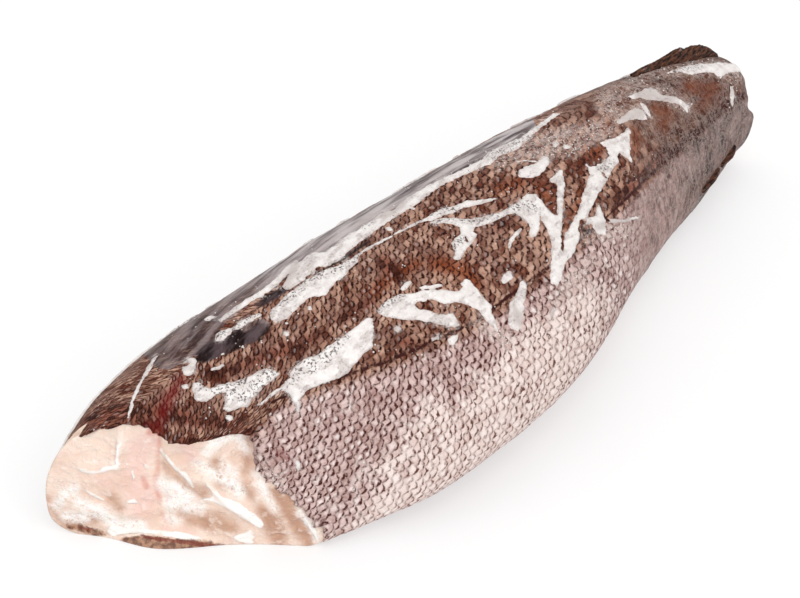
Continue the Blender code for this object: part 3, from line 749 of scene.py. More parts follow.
def finer(field):
    """A field over the net at twice the fineness."""
    closed = np.concatenate([field, field[:, :1]], axis=1)
    rows = np.empty((2 * closed.shape[0] - 1,) + closed.shape[1:])
    rows[::2] = closed
    rows[1::2] = (closed[:-1] + closed[1:]) / 2
    full = np.empty((rows.shape[0], 2 * rows.shape[1] - 2) + rows.shape[2:])
    full[:, ::2] = rows[:, :-1]
    full[:, 1::2] = (rows[:, :-1] + rows[:, 1:]) / 2
    return full


class SkinNet:
    """A net over the skin: its points, the directions out of them, and where they show in the photograph."""

    def __init__(self, points):
        self.points = points
        self.normals = net_normals(points)
        self.photo = on_photo(points)
        sight = row_frame(points) - EYE
        facing = -np.sum(self.normals * sight, axis=2) / np.linalg.norm(sight, axis=2)
        self.seen = ease((facing - 0.02) / 0.10)
        rows, columns = points.shape[:2]
        share = np.arange(columns) / columns
        down = np.minimum(share, 1 - share)
        slip = SLIP * ease(down / SLIP_BELOW) + SLIP_WAVE * np.sin(down * SLIP_WAVES)
        moved = np.arange(rows)[:, None] + (slip * rows).astype(int)[None, :]
        mirrored = (columns - np.arange(columns)) % columns
        self.other_rows = np.clip(moved, 0, rows - 1)
        self.other_columns = mirrored[None, :] + np.zeros_like(self.other_rows)

    def lay(self, shapes, reach=MARK_REACH):
        """Distance to shapes over the whole skin: as they show where the photograph sees the skin, and
        elsewhere as on the other flank, drawn out of line with it further from the crown."""
        shown = outside(self.photo, shapes, reach)
        there = self.other_rows, self.other_columns
        other = np.where(self.seen[there] > 0.5, shown[there], reach)
        return shown * self.seen + other * (1 - self.seen)

    def patch(self, strokes, soft):
        """1 inside soft-edged strokes, 0 away from them."""
        return 1 - ease(self.lay(strokes) / soft + 0.5)


COARSE = SkinNet(NET)
FINE = SkinNet(finer(NET))


# ---------------------------------------------------------------- shader maths


# The colour sockets of a Mix node, whose names it has more than once
MIX_FACTOR = 0
MIX_COLOUR_A = 6
MIX_COLOUR_B = 7
MIX_COLOUR_RESULT = 2

# How far light spreads under a surface in red, green and blue, and the reach of that in metres
FLESH_SPREAD = (1, 0.4, 0.2)
ICE_SPREAD = (0.8, 0.8, 0.8)
SPREAD_REACH = 0.003


class Shade:
    """A value, colour or vector in a material. Sums of values are Math nodes."""

    def __init__(self, tree, socket=None):
        self.tree = tree
        self.socket = socket

    def node(self, kind, settings, sockets, output=0):
        """Adds a node: its settings first, then the values or links of its sockets."""
        made = self.tree.nodes.new(kind)
        for name, value in settings.items():
            setattr(made, name, value)
        for name, value in sockets.items():
            if isinstance(value, Shade):
                self.tree.links.new(value.socket, made.inputs[name])
            else:
                made.inputs[name].default_value = value
        return Shade(self.tree, made.outputs[output])

    def math(self, operation, *values):
        return self.node("ShaderNodeMath", {"operation": operation}, dict(enumerate(values)))

    def __add__(self, other):
        return self.math("ADD", self, other)

    def __radd__(self, other):
        return self.math("ADD", other, self)

    def __sub__(self, other):
        return self.math("SUBTRACT", self, other)

    def __rsub__(self, other):
        return self.math("SUBTRACT", other, self)

    def __mul__(self, other):
        return self.math("MULTIPLY", self, other)

    def __rmul__(self, other):
        return self.math("MULTIPLY", other, self)

    def __truediv__(self, other):
        return self.math("DIVIDE", self, other)

    def floor(self):
        return self.math("FLOOR", self)

    def fract(self):
        return self.math("FRACT", self)

    def clamp(self):
        return self.math("MAXIMUM", self.math("MINIMUM", self, 1.0), 0.0)

    def square(self):
        return self.math("MULTIPLY", self, self)

    def most(self, other):
        return self.math("MAXIMUM", self, other)

    def thread(self, wide):
        """1 along the thin winding lines where a noise passes its middle value."""
        return 1.0 - (self.math("ABSOLUTE", self - 0.5) / wide).clamp()

    def step(self, low, high):
        """Soft step: 0 up to low, 1 from high on. The other way round where low is above high."""
        sockets = {"Value": self, "From Min": low, "From Max": high, "To Min": 0.0, "To Max": 1.0}
        return self.node("ShaderNodeMapRange", {"interpolation_type": "SMOOTHSTEP"}, sockets)

    def stretch(self, x, y, z):
        """A vector made longer or shorter along its axes."""
        return self.node("ShaderNodeVectorMath", {"operation": "MULTIPLY"}, {0: self, 1: (x, y, z)})

    def shifted(self, by, amount):
        """A vector moved by another vector, such as coloured noise around 0.5."""
        centred = self.node("ShaderNodeVectorMath", {"operation": "SUBTRACT"}, {0: by, 1: (0.5, 0.5, 0.5)})
        longer = self.node("ShaderNodeVectorMath", {"operation": "SCALE"}, {0: centred, "Scale": amount})
        return self.node("ShaderNodeVectorMath", {"operation": "ADD"}, {0: self, 1: longer})

    def split(self):
        """The three numbers of a vector."""
        outputs = self.node("ShaderNodeSeparateXYZ", {}, {"Vector": self}).socket.node.outputs
        return [Shade(self.tree, output) for output in outputs]

    def noise(self, size, detail=2.0, rough=0.5, output=0):
        """Noise over this vector. Its features are about size across, in the vector's own unit."""
        sockets = {"Vector": self, "Scale": 1.0 / size, "Detail": detail, "Roughness": rough}
        return self.node("ShaderNodeTexNoise", {}, sockets, output)

    def cells(self, size):
        """How far away the nearest middle of a cell is, 0 to about 1, for cells of about this size."""
        return self.node("ShaderNodeTexVoronoi", {"feature": "F1"}, {"Vector": self, "Scale": 1.0 / size})

    def painted(self, under, over):
        """The colour over laid on the colour under, where this value is 1."""
        sockets = {MIX_FACTOR: self, MIX_COLOUR_A: under, MIX_COLOUR_B: over}
        return self.node("ShaderNodeMix", {"data_type": "RGBA"}, sockets, MIX_COLOUR_RESULT)


class Finish:
    """A material on one Principled shader."""

    def __init__(self, name, specular=0.5, coat=0.0, coat_roughness=0.1, subsurface=0.0, spread=FLESH_SPREAD):
        self.material = bpy.data.materials.new(name)
        self.material.use_nodes = True
        self.shader = self.material.node_tree.nodes["Principled BSDF"]
        self.sheet = Shade(self.material.node_tree)
        constants = {
            "Specular IOR Level": specular,
            "Coat Weight": coat,
            "Coat Roughness": coat_roughness,
            "Subsurface Weight": subsurface,
            "Subsurface Radius": spread,
            "Subsurface Scale": SPREAD_REACH,
        }
        for socket, value in constants.items():
            self.shader.inputs[socket].default_value = value

    def luck(self, name):
        """A random value for each whole name, such as one for each scale."""
        return self.sheet.node("ShaderNodeTexWhiteNoise", {"noise_dimensions": "1D"}, {"W": name})

    def carried(self, name):
        """The three values of a vector that the mesh carries."""
        return self.vector(name).split()

    def vector(self, name):
        """A vector that the mesh carries."""
        return self.sheet.node("ShaderNodeAttribute", {"attribute_name": name}, {}, "Vector")

    def place(self):
        """The point of the object, in millimetres."""
        return self.sheet.node("ShaderNodeTexCoord", {}, {}, "Object").stretch(1 / MM, 1 / MM, 1 / MM)

    def set(self, **looks):
        """Feeds the shader's sockets."""
        for name, value in looks.items():
            socket = self.shader.inputs[name.replace("_", " ")]
            if isinstance(value, Shade):
                self.material.node_tree.links.new(value.socket, socket)
            else:
                socket.default_value = value

    def raised(self, height, depth):
        """The normal of a surface with this relief, depth in millimetres for a height of 1."""
        sockets = {"Strength": 1.0, "Distance": depth * MM, "Height": height}
        return self.sheet.node("ShaderNodeBump", {}, sockets)


def colour(red, green, blue):
    """A colour as the eye reads it, 0 to 255, as the shader wants it."""
    parts = [c / 255 for c in (red, green, blue)]
    return tuple(c / 12.92 if c <= 0.04045 else ((c + 0.055) / 1.055) ** 2.4 for c in parts) + (1.0,)


# ---------------------------------------------------------------- finishes


WHITE = (1.0, 1.0, 1.0, 1.0)
FLOOR_GLOW = 0.52


def skin_finish():
    """Overlapping scales: brown and maroon on the back, pale pink with brown rims on the belly, streaks to
    the tail, grey film along the back, all under a thin glaze."""
    f = Finish("frozen_scaled_skin", specular=0.06, coat=0.02, coat_roughness=0.15)
    place = f.place()
    along, _, _ = place.split()
    nape = along.step(-70.0, -130.0)
    belly, tail, film = f.carried("tones")
    line, ice, rust = f.carried("marks")
    blood, hollow, dust = f.carried("extras")
    dark, pale, streaky = f.carried("depths")

    coarse = place.noise(11.0, 3.0)
    fine = place.noise(2.4, 3.0, 0.6)
    grain = place.noise(0.7, 2.0, 0.6)

    # The scales: rows half a scale apart, every other one shifted, each round edge lying over the next row
    lattice = f.vector("scales")
    bent = lattice.shifted(place.noise(12.0, 1.0, output="Color"), 0.9)
    bent = bent.shifted(place.noise(2.4, 2.0, output="Color"), 0.3)
    u, v, _ = bent.split()
    _, _, bare = lattice.split()
    bare_on = (bare + (fine - 0.5) * 0.5).step(0.40, 0.60)
    rows = u * 2.0
    row = rows.floor()
    odd = (row * 0.5).fract() * 2.0
    x = (rows - row) * 0.5 + 0.5
    front_cell = v + odd * 0.5
    rear_cell = v + (1.0 - odd) * 0.5
    front_side = front_cell.fract() - 0.5
    rear_side = rear_cell.fract() - 0.5
    front_name = front_cell.floor() * 7.13 + (row - 1.0) * 3.71
    rear_name = rear_cell.floor() * 7.13 + row * 3.71
    front_edge = 0.83 + 0.13 * f.luck(front_name) - 1.15 * front_side * front_side
    past = x - front_edge
    under = past.step(-0.015, 0.015)
    name = front_name + under * (rear_name - front_name)
    chance = f.luck(name)
    chance_too = f.luck(name + 51.7)
    along_scale = x - under * 0.5
    side = front_side + under * (rear_side - front_side)
    torn = past + (fine - 0.5) * 0.45
    round_tip = (1.0 - front_side * front_side * 3.2).clamp()
    ticks = place.noise(1.5, 2.0, 0.6).step(0.38, 0.56)
    crescent = torn.step(-0.20, -0.05) * (1.0 - torn.step(0.02, 0.12)) * round_tip
    shade = past.step(-0.01, 0.01) * (1.0 - past.step(0.02, 0.26))

    # Back, middle and belly
    tint = (chance * 0.16 + fine * 0.5 + coarse * 0.14 + grain * 0.2).step(0.28, 0.72)
    back_tint = (tint * 0.6 + chance * 0.4).step(0.05, 0.95)
    back_plate = back_tint.painted(colour(98, 47, 31), colour(192, 152, 132))
    back_plate = (coarse.step(0.46, 0.62) * 0.45).painted(back_plate, colour(130, 98, 88))
    maroon = tint.painted(colour(70, 26, 13), colour(118, 66, 48))
    back_plate = (coarse.step(0.46, 0.34) * 0.6).painted(back_plate, maroon)
    back_plate = (rust * 0.9).painted(back_plate, tint.painted(colour(104, 42, 16), colour(150, 82, 50)))
    back_plate = (dark * 0.9).painted(back_plate, back_tint.painted(colour(36, 7, 3), colour(132, 76, 60)))
    back_rim = coarse.painted(colour(28, 5, 2), colour(54, 17, 8))
    mauve_plate = tint.painted(colour(160, 126, 119), colour(218, 192, 187))
    mauve_plate = (dark * 0.6).painted(mauve_plate, colour(104, 72, 70))
    pale_plate = tint.painted(colour(206, 181, 173), colour(238, 222, 216))
    light = (pale + (coarse - 0.5) * 1.0 + (fine - 0.5) * 0.9).step(0.10, 0.95)
    belly_plate = light.painted(mauve_plate, pale_plate)
    haze = place.noise(7.0, 4.0, 0.72).step(0.52, 0.64)
    belly_plate = (haze * (0.2 + 0.5 * fine)).painted(belly_plate, colour(232, 218, 212))
    belly_rim = light.painted(colour(74, 34, 30), colour(98, 60, 50))
    low = (belly + (fine - 0.5) * 0.5).step(0.25, 0.75)
    plate = low.painted(back_plate, belly_plate)
    rims = low.painted(back_rim, belly_rim)

    # Towards the tail the scales give way to fine streaks, round the body and along it
    swept = place.shifted(place.noise(9.0, 1.0, output="Color"), 7.0)
    round_body = swept.stretch(1.0, 0.28, 0.28).noise(1.9, 4.0, 0.66)
    along_body = swept.stretch(0.4, 1.0, 0.5).noise(1.6, 4.0, 0.66)
    streaks = round_body * 0.55 + along_body * 0.45
    tail_flank = streaks.step(0.42, 0.58).painted(colour(70, 45, 42), colour(148, 117, 110))
    tail_end = streaks.step(0.42, 0.60).painted(colour(34, 20, 18), colour(86, 62, 57))
    tail_side = tail.painted(tail_flank, tail_end)
    tail_back = streaks.step(0.42, 0.60).painted(colour(38, 13, 7), colour(84, 48, 36))
    rusty = streaks.step(0.35, 0.6).painted(colour(80, 36, 18), colour(112, 60, 38))
    tail_back = (rust * 0.8).painted(tail_back, rusty)
    tail_back = (dark * 0.7).painted(tail_back, colour(62, 38, 36))
    dusky = streaks.step(0.42, 0.60).painted(colour(34, 14, 9), colour(98, 60, 46))
    tail_side = (dark * 0.8).painted(tail_side, dusky)
    tail_skin = low.painted(tail_back, tail_side)
    plate = (streaky * (0.65 + (coarse - 0.5))).clamp().painted(plate, tail_skin)

    # Dark crescents along the scales' edges, painted shade behind them and a painted glint on some
    seldom = (chance_too + (coarse - 0.5) * 1.6).step(0.30, 0.60)
    inked = crescent * (0.35 + 0.75 * ticks) * (1.0 - light * low * seldom * 0.5) * (1.0 - streaky * 0.72)
    inked = inked * (1.3 - haze * low * 0.6)
    skin = inked.clamp().painted(plate, rims)
    # Painted shade: the scale just behind each edge is darkened towards the rims' colour
    skin = (shade * 0.35 * (1.0 - streaky) * (1.0 - light * low * 0.6)).painted(skin, rims)
    # Painted highlight: a whitish glint spot in the middle of some scales
    painted_glint_spot = (1.0 - ((along_scale - 0.62) * 5.5).square() - (side * 3.6).square()).step(0.0, 0.8)
    painted_glint = painted_glint_spot * chance_too.step(0.6, 1.0) * (0.18 + 0.46 * low) * (1.0 - streaky)
    skin = painted_glint.painted(skin, colour(236, 226, 224))

    # The lateral line
    line_wide = 0.7 + 1.3 * tail
    line_tone = 1.0 - ((line + (fine - 0.5) * 2.4) / line_wide).step(0.4, 1.7)
    skin = (line_tone * (0.6 + coarse)).clamp().painted(skin, colour(58, 24, 20))

    # Grey film along the back, glassy dark hollows and blood
    lengthwise = place.stretch(0.06, 0.6, 0.6).noise(2.4, 3.0, 0.55)
    film_tone = lengthwise.step(0.36, 0.62).painted(colour(78, 64, 66), colour(190, 181, 180))
    nape_film = lengthwise.step(0.36, 0.64).painted(colour(50, 36, 37), colour(134, 121, 121))
    film_tone = nape.painted(film_tone, nape_film)
    film_on = (film + (fine - 0.5) * 0.4).step(0.35, 0.60)
    skin = (film_on * (0.55 + coarse * 0.8 - nape * 0.2)).clamp().painted(skin, film_tone)
    glassy = lengthwise.step(0.38, 0.62).painted(colour(26, 12, 12), colour(82, 68, 71))
    skin = (hollow * (0.5 + coarse)).clamp().painted(skin, glassy)
    skin = (blood * coarse.step(0.30, 0.55) * (0.6 + fine * 0.5)).clamp().painted(skin, colour(108, 12, 14))

    # Frost: crumbs, crossing threads, a dusting and rime beside the ice, then flesh where the skin is torn
    crumbs = place.cells(1.6).step(0.30, 0.16) * (place.noise(7.0, 2.0) + dust * 0.25).step(0.58, 0.72)
    skin = (crumbs * (0.85 - streaky * 0.5)).clamp().painted(skin, colour(232, 226, 224))
    frost_on = (dust + streaky * 0.7 * (fine + coarse - 0.3)).clamp()
    slanted = swept.stretch(0.30, 1.0, 1.0).noise(2.6, 4.0, 0.65)
    upright = swept.stretch(1.0, 0.34, 0.34).noise(2.6, 4.0, 0.65)
    threads = slanted.thread(0.04).most(upright.thread(0.04))
    skin = (threads * frost_on * (0.5 - rust * 0.35)).clamp().painted(skin, colour(208, 190, 182))
    flurry = swept.stretch(0.4, 1.0, 1.0).noise(1.4, 4.0, 0.72)
    cloud = dust * (flurry + (coarse - 0.5) * 0.4 + dust * 0.03).step(0.50, 0.60)
    flecks = grain.step(0.3, 0.7).painted(colour(168, 142, 131), colour(218, 205, 199))
    skin = (cloud * 0.5).painted(skin, flecks)
    halo = place.noise(8.0, 2.0).step(0.54, 0.68)
    rime = (1.0 - (ice + (fine - 0.5) * 8.0).step(-1.0, 4.0)) * grain.step(0.35, 0.6) * halo
    skin = (rime * 0.8).painted(skin, colour(226, 218, 214))
    skin = bare_on.painted(skin, fine.painted(colour(226, 192, 166), colour(250, 230, 216)))
    f.set(Base_Color=skin)
    f.set(Roughness=(0.42 + grain * 0.22 - film_on * 0.14 + rime * 0.2).clamp())
    shingle = along_scale * 0.7 - side * side * 0.8 - shade * 0.4
    scaled = (1.0 - film_on * 0.9) * (1.0 - streaky * 0.75)
    relief = shingle * scaled + fine * 0.4 + grain * 0.12 + streaks * streaky * 0.5
    f.set(Normal=f.raised(relief, 0.42))
    return f.material


def flesh_finish():
    """Frozen fish flesh: creamy and pinkish, tan where it is glassy, with white tendons, a red cleft,
    granular frost and a dark brown belly lining along the floor."""
    f = Finish("frozen_cut_flesh", specular=0.3, coat=0.15, coat_roughness=0.25, subsurface=0.1)
    place = f.place()
    white, frost, tan = f.carried("flesh_a")
    red, pink, lining = f.carried("flesh_b")
    blood, _, _ = f.carried("flesh_c")
    soft = place.noise(14.0, 2.0)
    fine = place.noise(2.4, 3.0, 0.6)
    grain = place.noise(0.8, 3.0, 0.7)
    crooked = place.shifted(place.noise(9.0, 2.0, output="Color"), 4.0)
    flaky = crooked.stretch(1.0, 0.5, 1.0).noise(3.6, 4.0, 0.62)
    fold = (fine - 0.5) * 9.0 + (soft - 0.5) * 10.0
    base = soft.step(0.35, 0.65).painted(colour(244, 222, 207), colour(238, 211, 196))
    base = ((1.0 - (pink + fold).step(-5.0, 10.0)) * 0.8).painted(base, colour(240, 204, 193))
    base = ((1.0 - (tan + fold * 0.6).step(-6.0, 7.0)) * 0.9).painted(base, colour(186, 139, 113))
    base = (soft.step(0.48, 0.60) * 0.25).painted(base, colour(224, 192, 168))
    base = (flaky.step(0.54, 0.68) * 0.4).painted(base, colour(250, 240, 232))
    base = (flaky.step(0.46, 0.32) * 0.25).painted(base, colour(224, 184, 158))
    base = ((1.0 - (red + fold * 0.3).step(-1.5, 3.0)) * fine * 0.8).painted(base, colour(206, 96, 76))
    frosty = (1.0 - (frost + fold).step(-5.0, 7.0)) * (fine + grain * 0.5).step(0.50, 0.80)
    base = frosty.painted(base, colour(255, 251, 247))
    crumbs = place.noise(1.1, 3.0, 0.7).step(0.60, 0.70) * (1.0 - (frost + fold).step(-2.0, 12.0))
    base = (crumbs * 0.5).painted(base, colour(190, 150, 128))
    tendon = (1.0 - (white + fold * 0.3).step(-1.2, 0.8)) * soft.step(0.30, 0.50)
    base = tendon.painted(base, colour(253, 248, 243))
    brown = fine.step(0.35, 0.65).painted(colour(92, 48, 28), colour(176, 130, 100))
    lined = 1.0 - (lining + fold * 0.7).step(-1.6, 1.8)
    base = (lined * 0.92).painted(base, brown)
    base = ((1.0 - (blood + fold * 0.3).step(-0.8, 1.0)) * 0.7).painted(base, colour(118, 34, 20))
    f.set(Base_Color=base)
    f.set(Roughness=(0.40 + frosty * 0.3 + grain * 0.12 + lined * 0.15).clamp())
    relief = flaky.step(0.35, 0.68) * 0.8 + fine * 0.7 + grain * (0.12 + frosty * 0.2) + tendon * 0.6
    f.set(Normal=f.raised(relief, 0.6))
    return f.material


def ice_finish():
    """White frozen glaze, with specks where the dark skin shows through."""
    f = Finish("white_ice", coat=0.25, coat_roughness=0.2, subsurface=0.1, spread=ICE_SPREAD)
    place = f.place()
    depth, speckled, clear = f.carried("glaze")
    grain = place.noise(1.0, 2.0, 0.6)
    cloud = place.noise(3.0, 3.0, 0.6)
    base = cloud.step(0.3, 0.7).painted(colour(220, 212, 208), colour(237, 232, 229))
    thin = 1.0 - depth.step(0.0, 0.7)
    base = (thin * 0.4).painted(base, colour(208, 196, 192))
    patchy = place.stretch(0.5, 1.0, 1.0).noise(4.5, 4.0, 0.65)
    base = (patchy.step(0.46, 0.62) * 0.65).painted(base, colour(192, 180, 176))
    base = (clear * (0.35 + cloud)).clamp().painted(base, colour(190, 178, 174))
    smears = place.noise(1.3, 3.0, 0.7).step(0.60, 0.68) * (1.0 - depth.step(0.3, 1.6))
    base = (smears * 0.75).painted(base, colour(118, 92, 84))
    sprinkled = (speckled + patchy.step(0.50, 0.60) * 0.35).clamp()
    specks = grain.step(0.54, 0.60) * sprinkled * (0.4 + 0.6 * cloud.step(0.30, 0.55))
    base = (specks * 0.92).painted(base, colour(76, 54, 50))
    f.set(Base_Color=base)
    f.set(Roughness=(0.33 + grain * 0.25).clamp())
    f.set(Normal=f.raised(cloud * 0.8 + grain * (0.3 + 0.5 * sprinkled) - specks * 0.7, 0.45))
    return f.material


def frost_finish():
    """Loose grains of frost."""
    f = Finish("frost_grains", subsurface=0.1, spread=ICE_SPREAD)
    place = f.place()
    base = place.noise(2.0, 2.0).painted(colour(226, 220, 216), colour(252, 250, 248))
    f.set(Base_Color=base)
    f.set(Roughness=(0.4 + place.noise(0.5) * 0.3).clamp())
    f.set(Normal=f.raised(place.noise(0.4, 2.0), 0.1))
    return f.material


def fin_finish():
    """Dark brown folded fin with its rays lying backwards and a dusting of frost."""
    f = Finish("dark_fin_stub", specular=0.1)
    place = f.place()
    rays = place.stretch(0.22, 1.0, 1.0).noise(1.0, 3.0, 0.6)
    base = rays.step(0.38, 0.64).painted(colour(26, 11, 7), colour(98, 62, 46))
    frosty = place.stretch(0.4, 1.0, 1.0).noise(4.0, 4.0, 0.7).step(0.62, 0.70)
    base = (frosty * 0.75).painted(base, colour(176, 166, 160))
    f.set(Base_Color=base)
    f.set(Roughness=(0.36 + rays * 0.3).clamp())
    f.set(Normal=f.raised(rays, 0.5))
    return f.material


def floor_finish():
    """A plain pale table."""
    f = Finish("pale_floor", specular=0.1)
    speck = f.place().noise(60.0, 2.0)
    f.set(Base_Color=speck.painted(colour(176, 176, 176), colour(180, 180, 180)))
    f.set(Roughness=0.9)
    f.set(Emission_Color=WHITE)
    f.set(Emission_Strength=FLOOR_GLOW)
    return f.material


# ---------------------------------------------------------------- pieces


def in_scene(name, data):
    """An object with this mesh, light or lens, in the scene."""
    made = bpy.data.objects.new(name, data)
    bpy.context.scene.collection.objects.link(made)
    return made


def new_piece(name, points, faces, material, replaced=()):
    """A mesh piece from millimetre points, kept inside the solid's box and riding on the fish."""
    mesh = bpy.data.meshes.new(name)
    mesh.from_pydata([tuple(p) for p in np.clip(row_frame(points), box_low, box_high)], [], faces)
    mesh.validate()
    mesh.shade_smooth()
    mesh.materials.append(material)
    piece = in_scene(name, mesh)
    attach(piece, BODY)
    for node in replaced:
        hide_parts(node)
    return piece


def carry(piece, name, values):
    """Stores three values for every point of a piece as one vector, for its material to read."""
    field = piece.data.attributes.new(name, "FLOAT_VECTOR", "POINT")
    field.data.foreach_set("vector", np.column_stack(values).astype(np.float32).ravel())


def scale_grid(along, down, along_bend, twist, down_bend):
    """Scales counted in one direction of a gently curved grid that lies aslant over the skin, from its
    pitches along the fish and down the flank."""
    bent = np.minimum(NET_AT, EVEN_SCALES_FROM) / 100
    low = DOWN / 100
    pitch = along + 2 * along_bend * bent + twist * low
    count = along * bent + down * low + along_bend * bent**2 + twist * bent * low + down_bend * low**2
    return count + pitch * (NET_AT / 100 - bent)


def scale_relief(u, v):
    """Height of the overlapping scales, 0 to 1."""
    rows = u * 2
    row = np.floor(rows)
    odd = row % 2
    x = (rows - row) * 0.5 + 0.5
    front = (v + odd * 0.5) % 1 - 0.5
    rear = (v + (1 - odd) * 0.5) % 1 - 0.5
    front_edge = 0.93 - 1.55 * front * front
    rear_edge = 0.93 - 1.55 * rear * rear
    return np.where(x < front_edge, x / front_edge - front * front, (x - 0.5) / rear_edge - rear * rear)


def net_faces(rows, columns):
    """The four-sided faces of a closed net whose rows are rings."""
    faces = []
    for row in range(rows - 1):
        for k in range(columns):
            here = row * columns + k
            after = row * columns + (k + 1) % columns
            faces.append((here, after, after + columns, here + columns))
    return faces


steps = np.linalg.norm(np.roll(NET, -1, axis=1) - NET, axis=2)
girth = steps.sum(axis=1)[:, None]
round_left = np.cumsum(steps, axis=1) - steps
DOWN = np.minimum(round_left, girth - round_left)
NET_U = scale_grid(*SCALES_TAILWARDS)
NET_V = scale_grid(*SCALES_ACROSS)
line_share = np.interp(NET_AT, [p for p, _ in LATERAL_LINE], [s for _, s in LATERAL_LINE])
LINE_AWAY = np.abs(FROM_CROWN[None, :] - line_share) * girth
BELLY = ease((FROM_CROWN[None, :] - line_share + 0.012) / 0.05)
TAIL = ease((NET_AT - 290) / 60)
STREAKY = 1.3 * ease((NET_AT - 225 - 35 * (1 - BELLY)) / 75)
FILM_ON = COARSE.patch(FILM, 4)
HOLLOW_ON = COARSE.patch(HOLLOWS, 3)
BLOOD_ON = COARSE.patch(BLOOD, 16)
RUST_ON = COARSE.patch(RUST, 14)
DUST_ON = COARSE.patch(DUST, 12)
DARK_ON = COARSE.patch(DARK, 14)
PALE_ON = COARSE.patch(PALE, 40)
FRAYED = 1.1 * wobble(FINE.points, 2.2, 1) + 0.8 * wobble(FINE.points, 1.1, 9)
ICE_AWAY = np.maximum(FINE.lay(ICE_SHAPES, ICE_REACH), -FINE.lay(ICE_HOLES, ICE_REACH)) + FRAYED


def skin_depth():
    """How far the visible skin lies under the net, so that the ice on it keeps inside the fish's size."""
    lumps = 0.35 * wobble(NET, 16, 3) + 0.18 * wobble(NET, 5, 4)
    scales = SCALE_HEIGHT * scale_relief(NET_U, NET_V) * (1 - 0.8 * FILM_ON) * (1 - 0.6 * STREAKY)
    groove = -LINE_DEPTH * bump(LINE_AWAY, 0, LINE_HALF)
    depth = lumps + scales + groove + FILM_HEIGHT * FILM_ON - HOLLOW_DEPTH * HOLLOW_ON - SINK
    return np.minimum(depth, -LEAST_UNDER)


DEPTH = skin_depth()
OFF_FLOOR = ease(NET[:, :, 2] / 3)
SKIN = NET + NORMALS * (DEPTH * OFF_FLOOR)[:, :, None]

# The skin's front edge stands out ragged round the top of the head cut, and has shrunk back from it elsewhere
EDGE_ON_TOP = 1 - ease((SHARES - 0.34) / 0.02) + ease((SHARES - 0.924) / 0.028)
BARE_ON = np.zeros(NET_AT.shape)
BARE_ON[:6] = (1 - EDGE_ON_TOP) * ease((SHARES - 0.5) / 0.05)
EDGE_ROWS = 8
EDGE_SHRUNK = 3.6
TIP_LENGTHS = (0.1, 4.5)
CORNER_TIP_SHARE = 0.135
CORNER_TIP_REACH = 0.012


def ragged_edge(skin):
    """The skin with its front edge drawn out into the tips of its scales, or shrunk back."""
    tips = 1.5 + 2.8 * wobble(NET[0], 2.6, 5) + 2.2 * wobble(NET[0], 1.3, 6)
    tips = tips + 2.6 * bump(SHARES, CORNER_TIP_SHARE, CORNER_TIP_REACH)
    forward = np.clip(tips, *TIP_LENGTHS) * EDGE_ON_TOP - EDGE_SHRUNK * (1 - EDGE_ON_TOP)
    rows = skin.copy()
    for row in range(EDGE_ROWS):
        rows[row, :, 0] -= forward * (1 - row / EDGE_ROWS) ** 2
    return rows


def skin_piece():
    """The skin, closed by a hidden wall inside the flesh at each end."""
    skin = ragged_edge(SKIN)
    skin[:, :, 2] = np.maximum(skin[:, :, 2], 0.0)
    front_in = skin[0] - NORMALS[0] * WALL_IN
    front_deep = NET[0] - NORMALS[0] * WALL_DEEP_IN + np.array([FRONT_WALL, 0, 0])
    rear_in = skin[-1] - NORMALS[-1] * WALL_IN
    rear_deep = NET[-1] - NORMALS[-1] * WALL_DEEP_IN - np.array([REAR_WALL, 0, 0])
    rings = np.vstack([front_deep[None], front_in[None], skin, rear_in[None], rear_deep[None]])
    rings[:, :, 2] = np.maximum(rings[:, :, 2], 0.0)
    rows = len(rings)
    faces = net_faces(rows, AROUND)
    points = rings.reshape(-1, 3)
    front_middle = front_deep.mean(axis=0) + np.array([FRONT_MIDDLE, 0, 0])
    rear_middle = rear_deep.mean(axis=0) - np.array([REAR_MIDDLE, 0, 0])
    points = np.vstack([points, front_middle, rear_middle])
    for k in range(AROUND):
        after = (k + 1) % AROUND
        faces.append((len(points) - 2, after, k))
        last = (rows - 1) * AROUND
        faces.append((len(points) - 1, last + k, last + after))
    piece = new_piece("scaled_skin", points, faces, skin_finish(), (NODE,))

    def padded(field):
        """A field over the net, with the values of its ends for the walls."""
        full = np.vstack([field[:1], field[:1], field, field[-1:], field[-1:]]).reshape(-1)
        return np.concatenate([full, [full[0], full[-1]]])

    dark = DARK_ON.copy()
    dark[:3] = np.maximum(dark[:3], EDGE_ON_TOP * ((SHARES < 0.15) | (SHARES > 0.9)))
    carried = {
        "tones": (BELLY, TAIL, FILM_ON),
        "marks": (LINE_AWAY, ICE_AWAY[::2, ::2], RUST_ON),
        "extras": (BLOOD_ON, HOLLOW_ON, DUST_ON),
        "depths": (dark, PALE_ON, STREAKY),
        "scales": (NET_U, NET_V, BARE_ON),
    }
    for name, fields in carried.items():
        carry(piece, name, [padded(field) for field in fields])


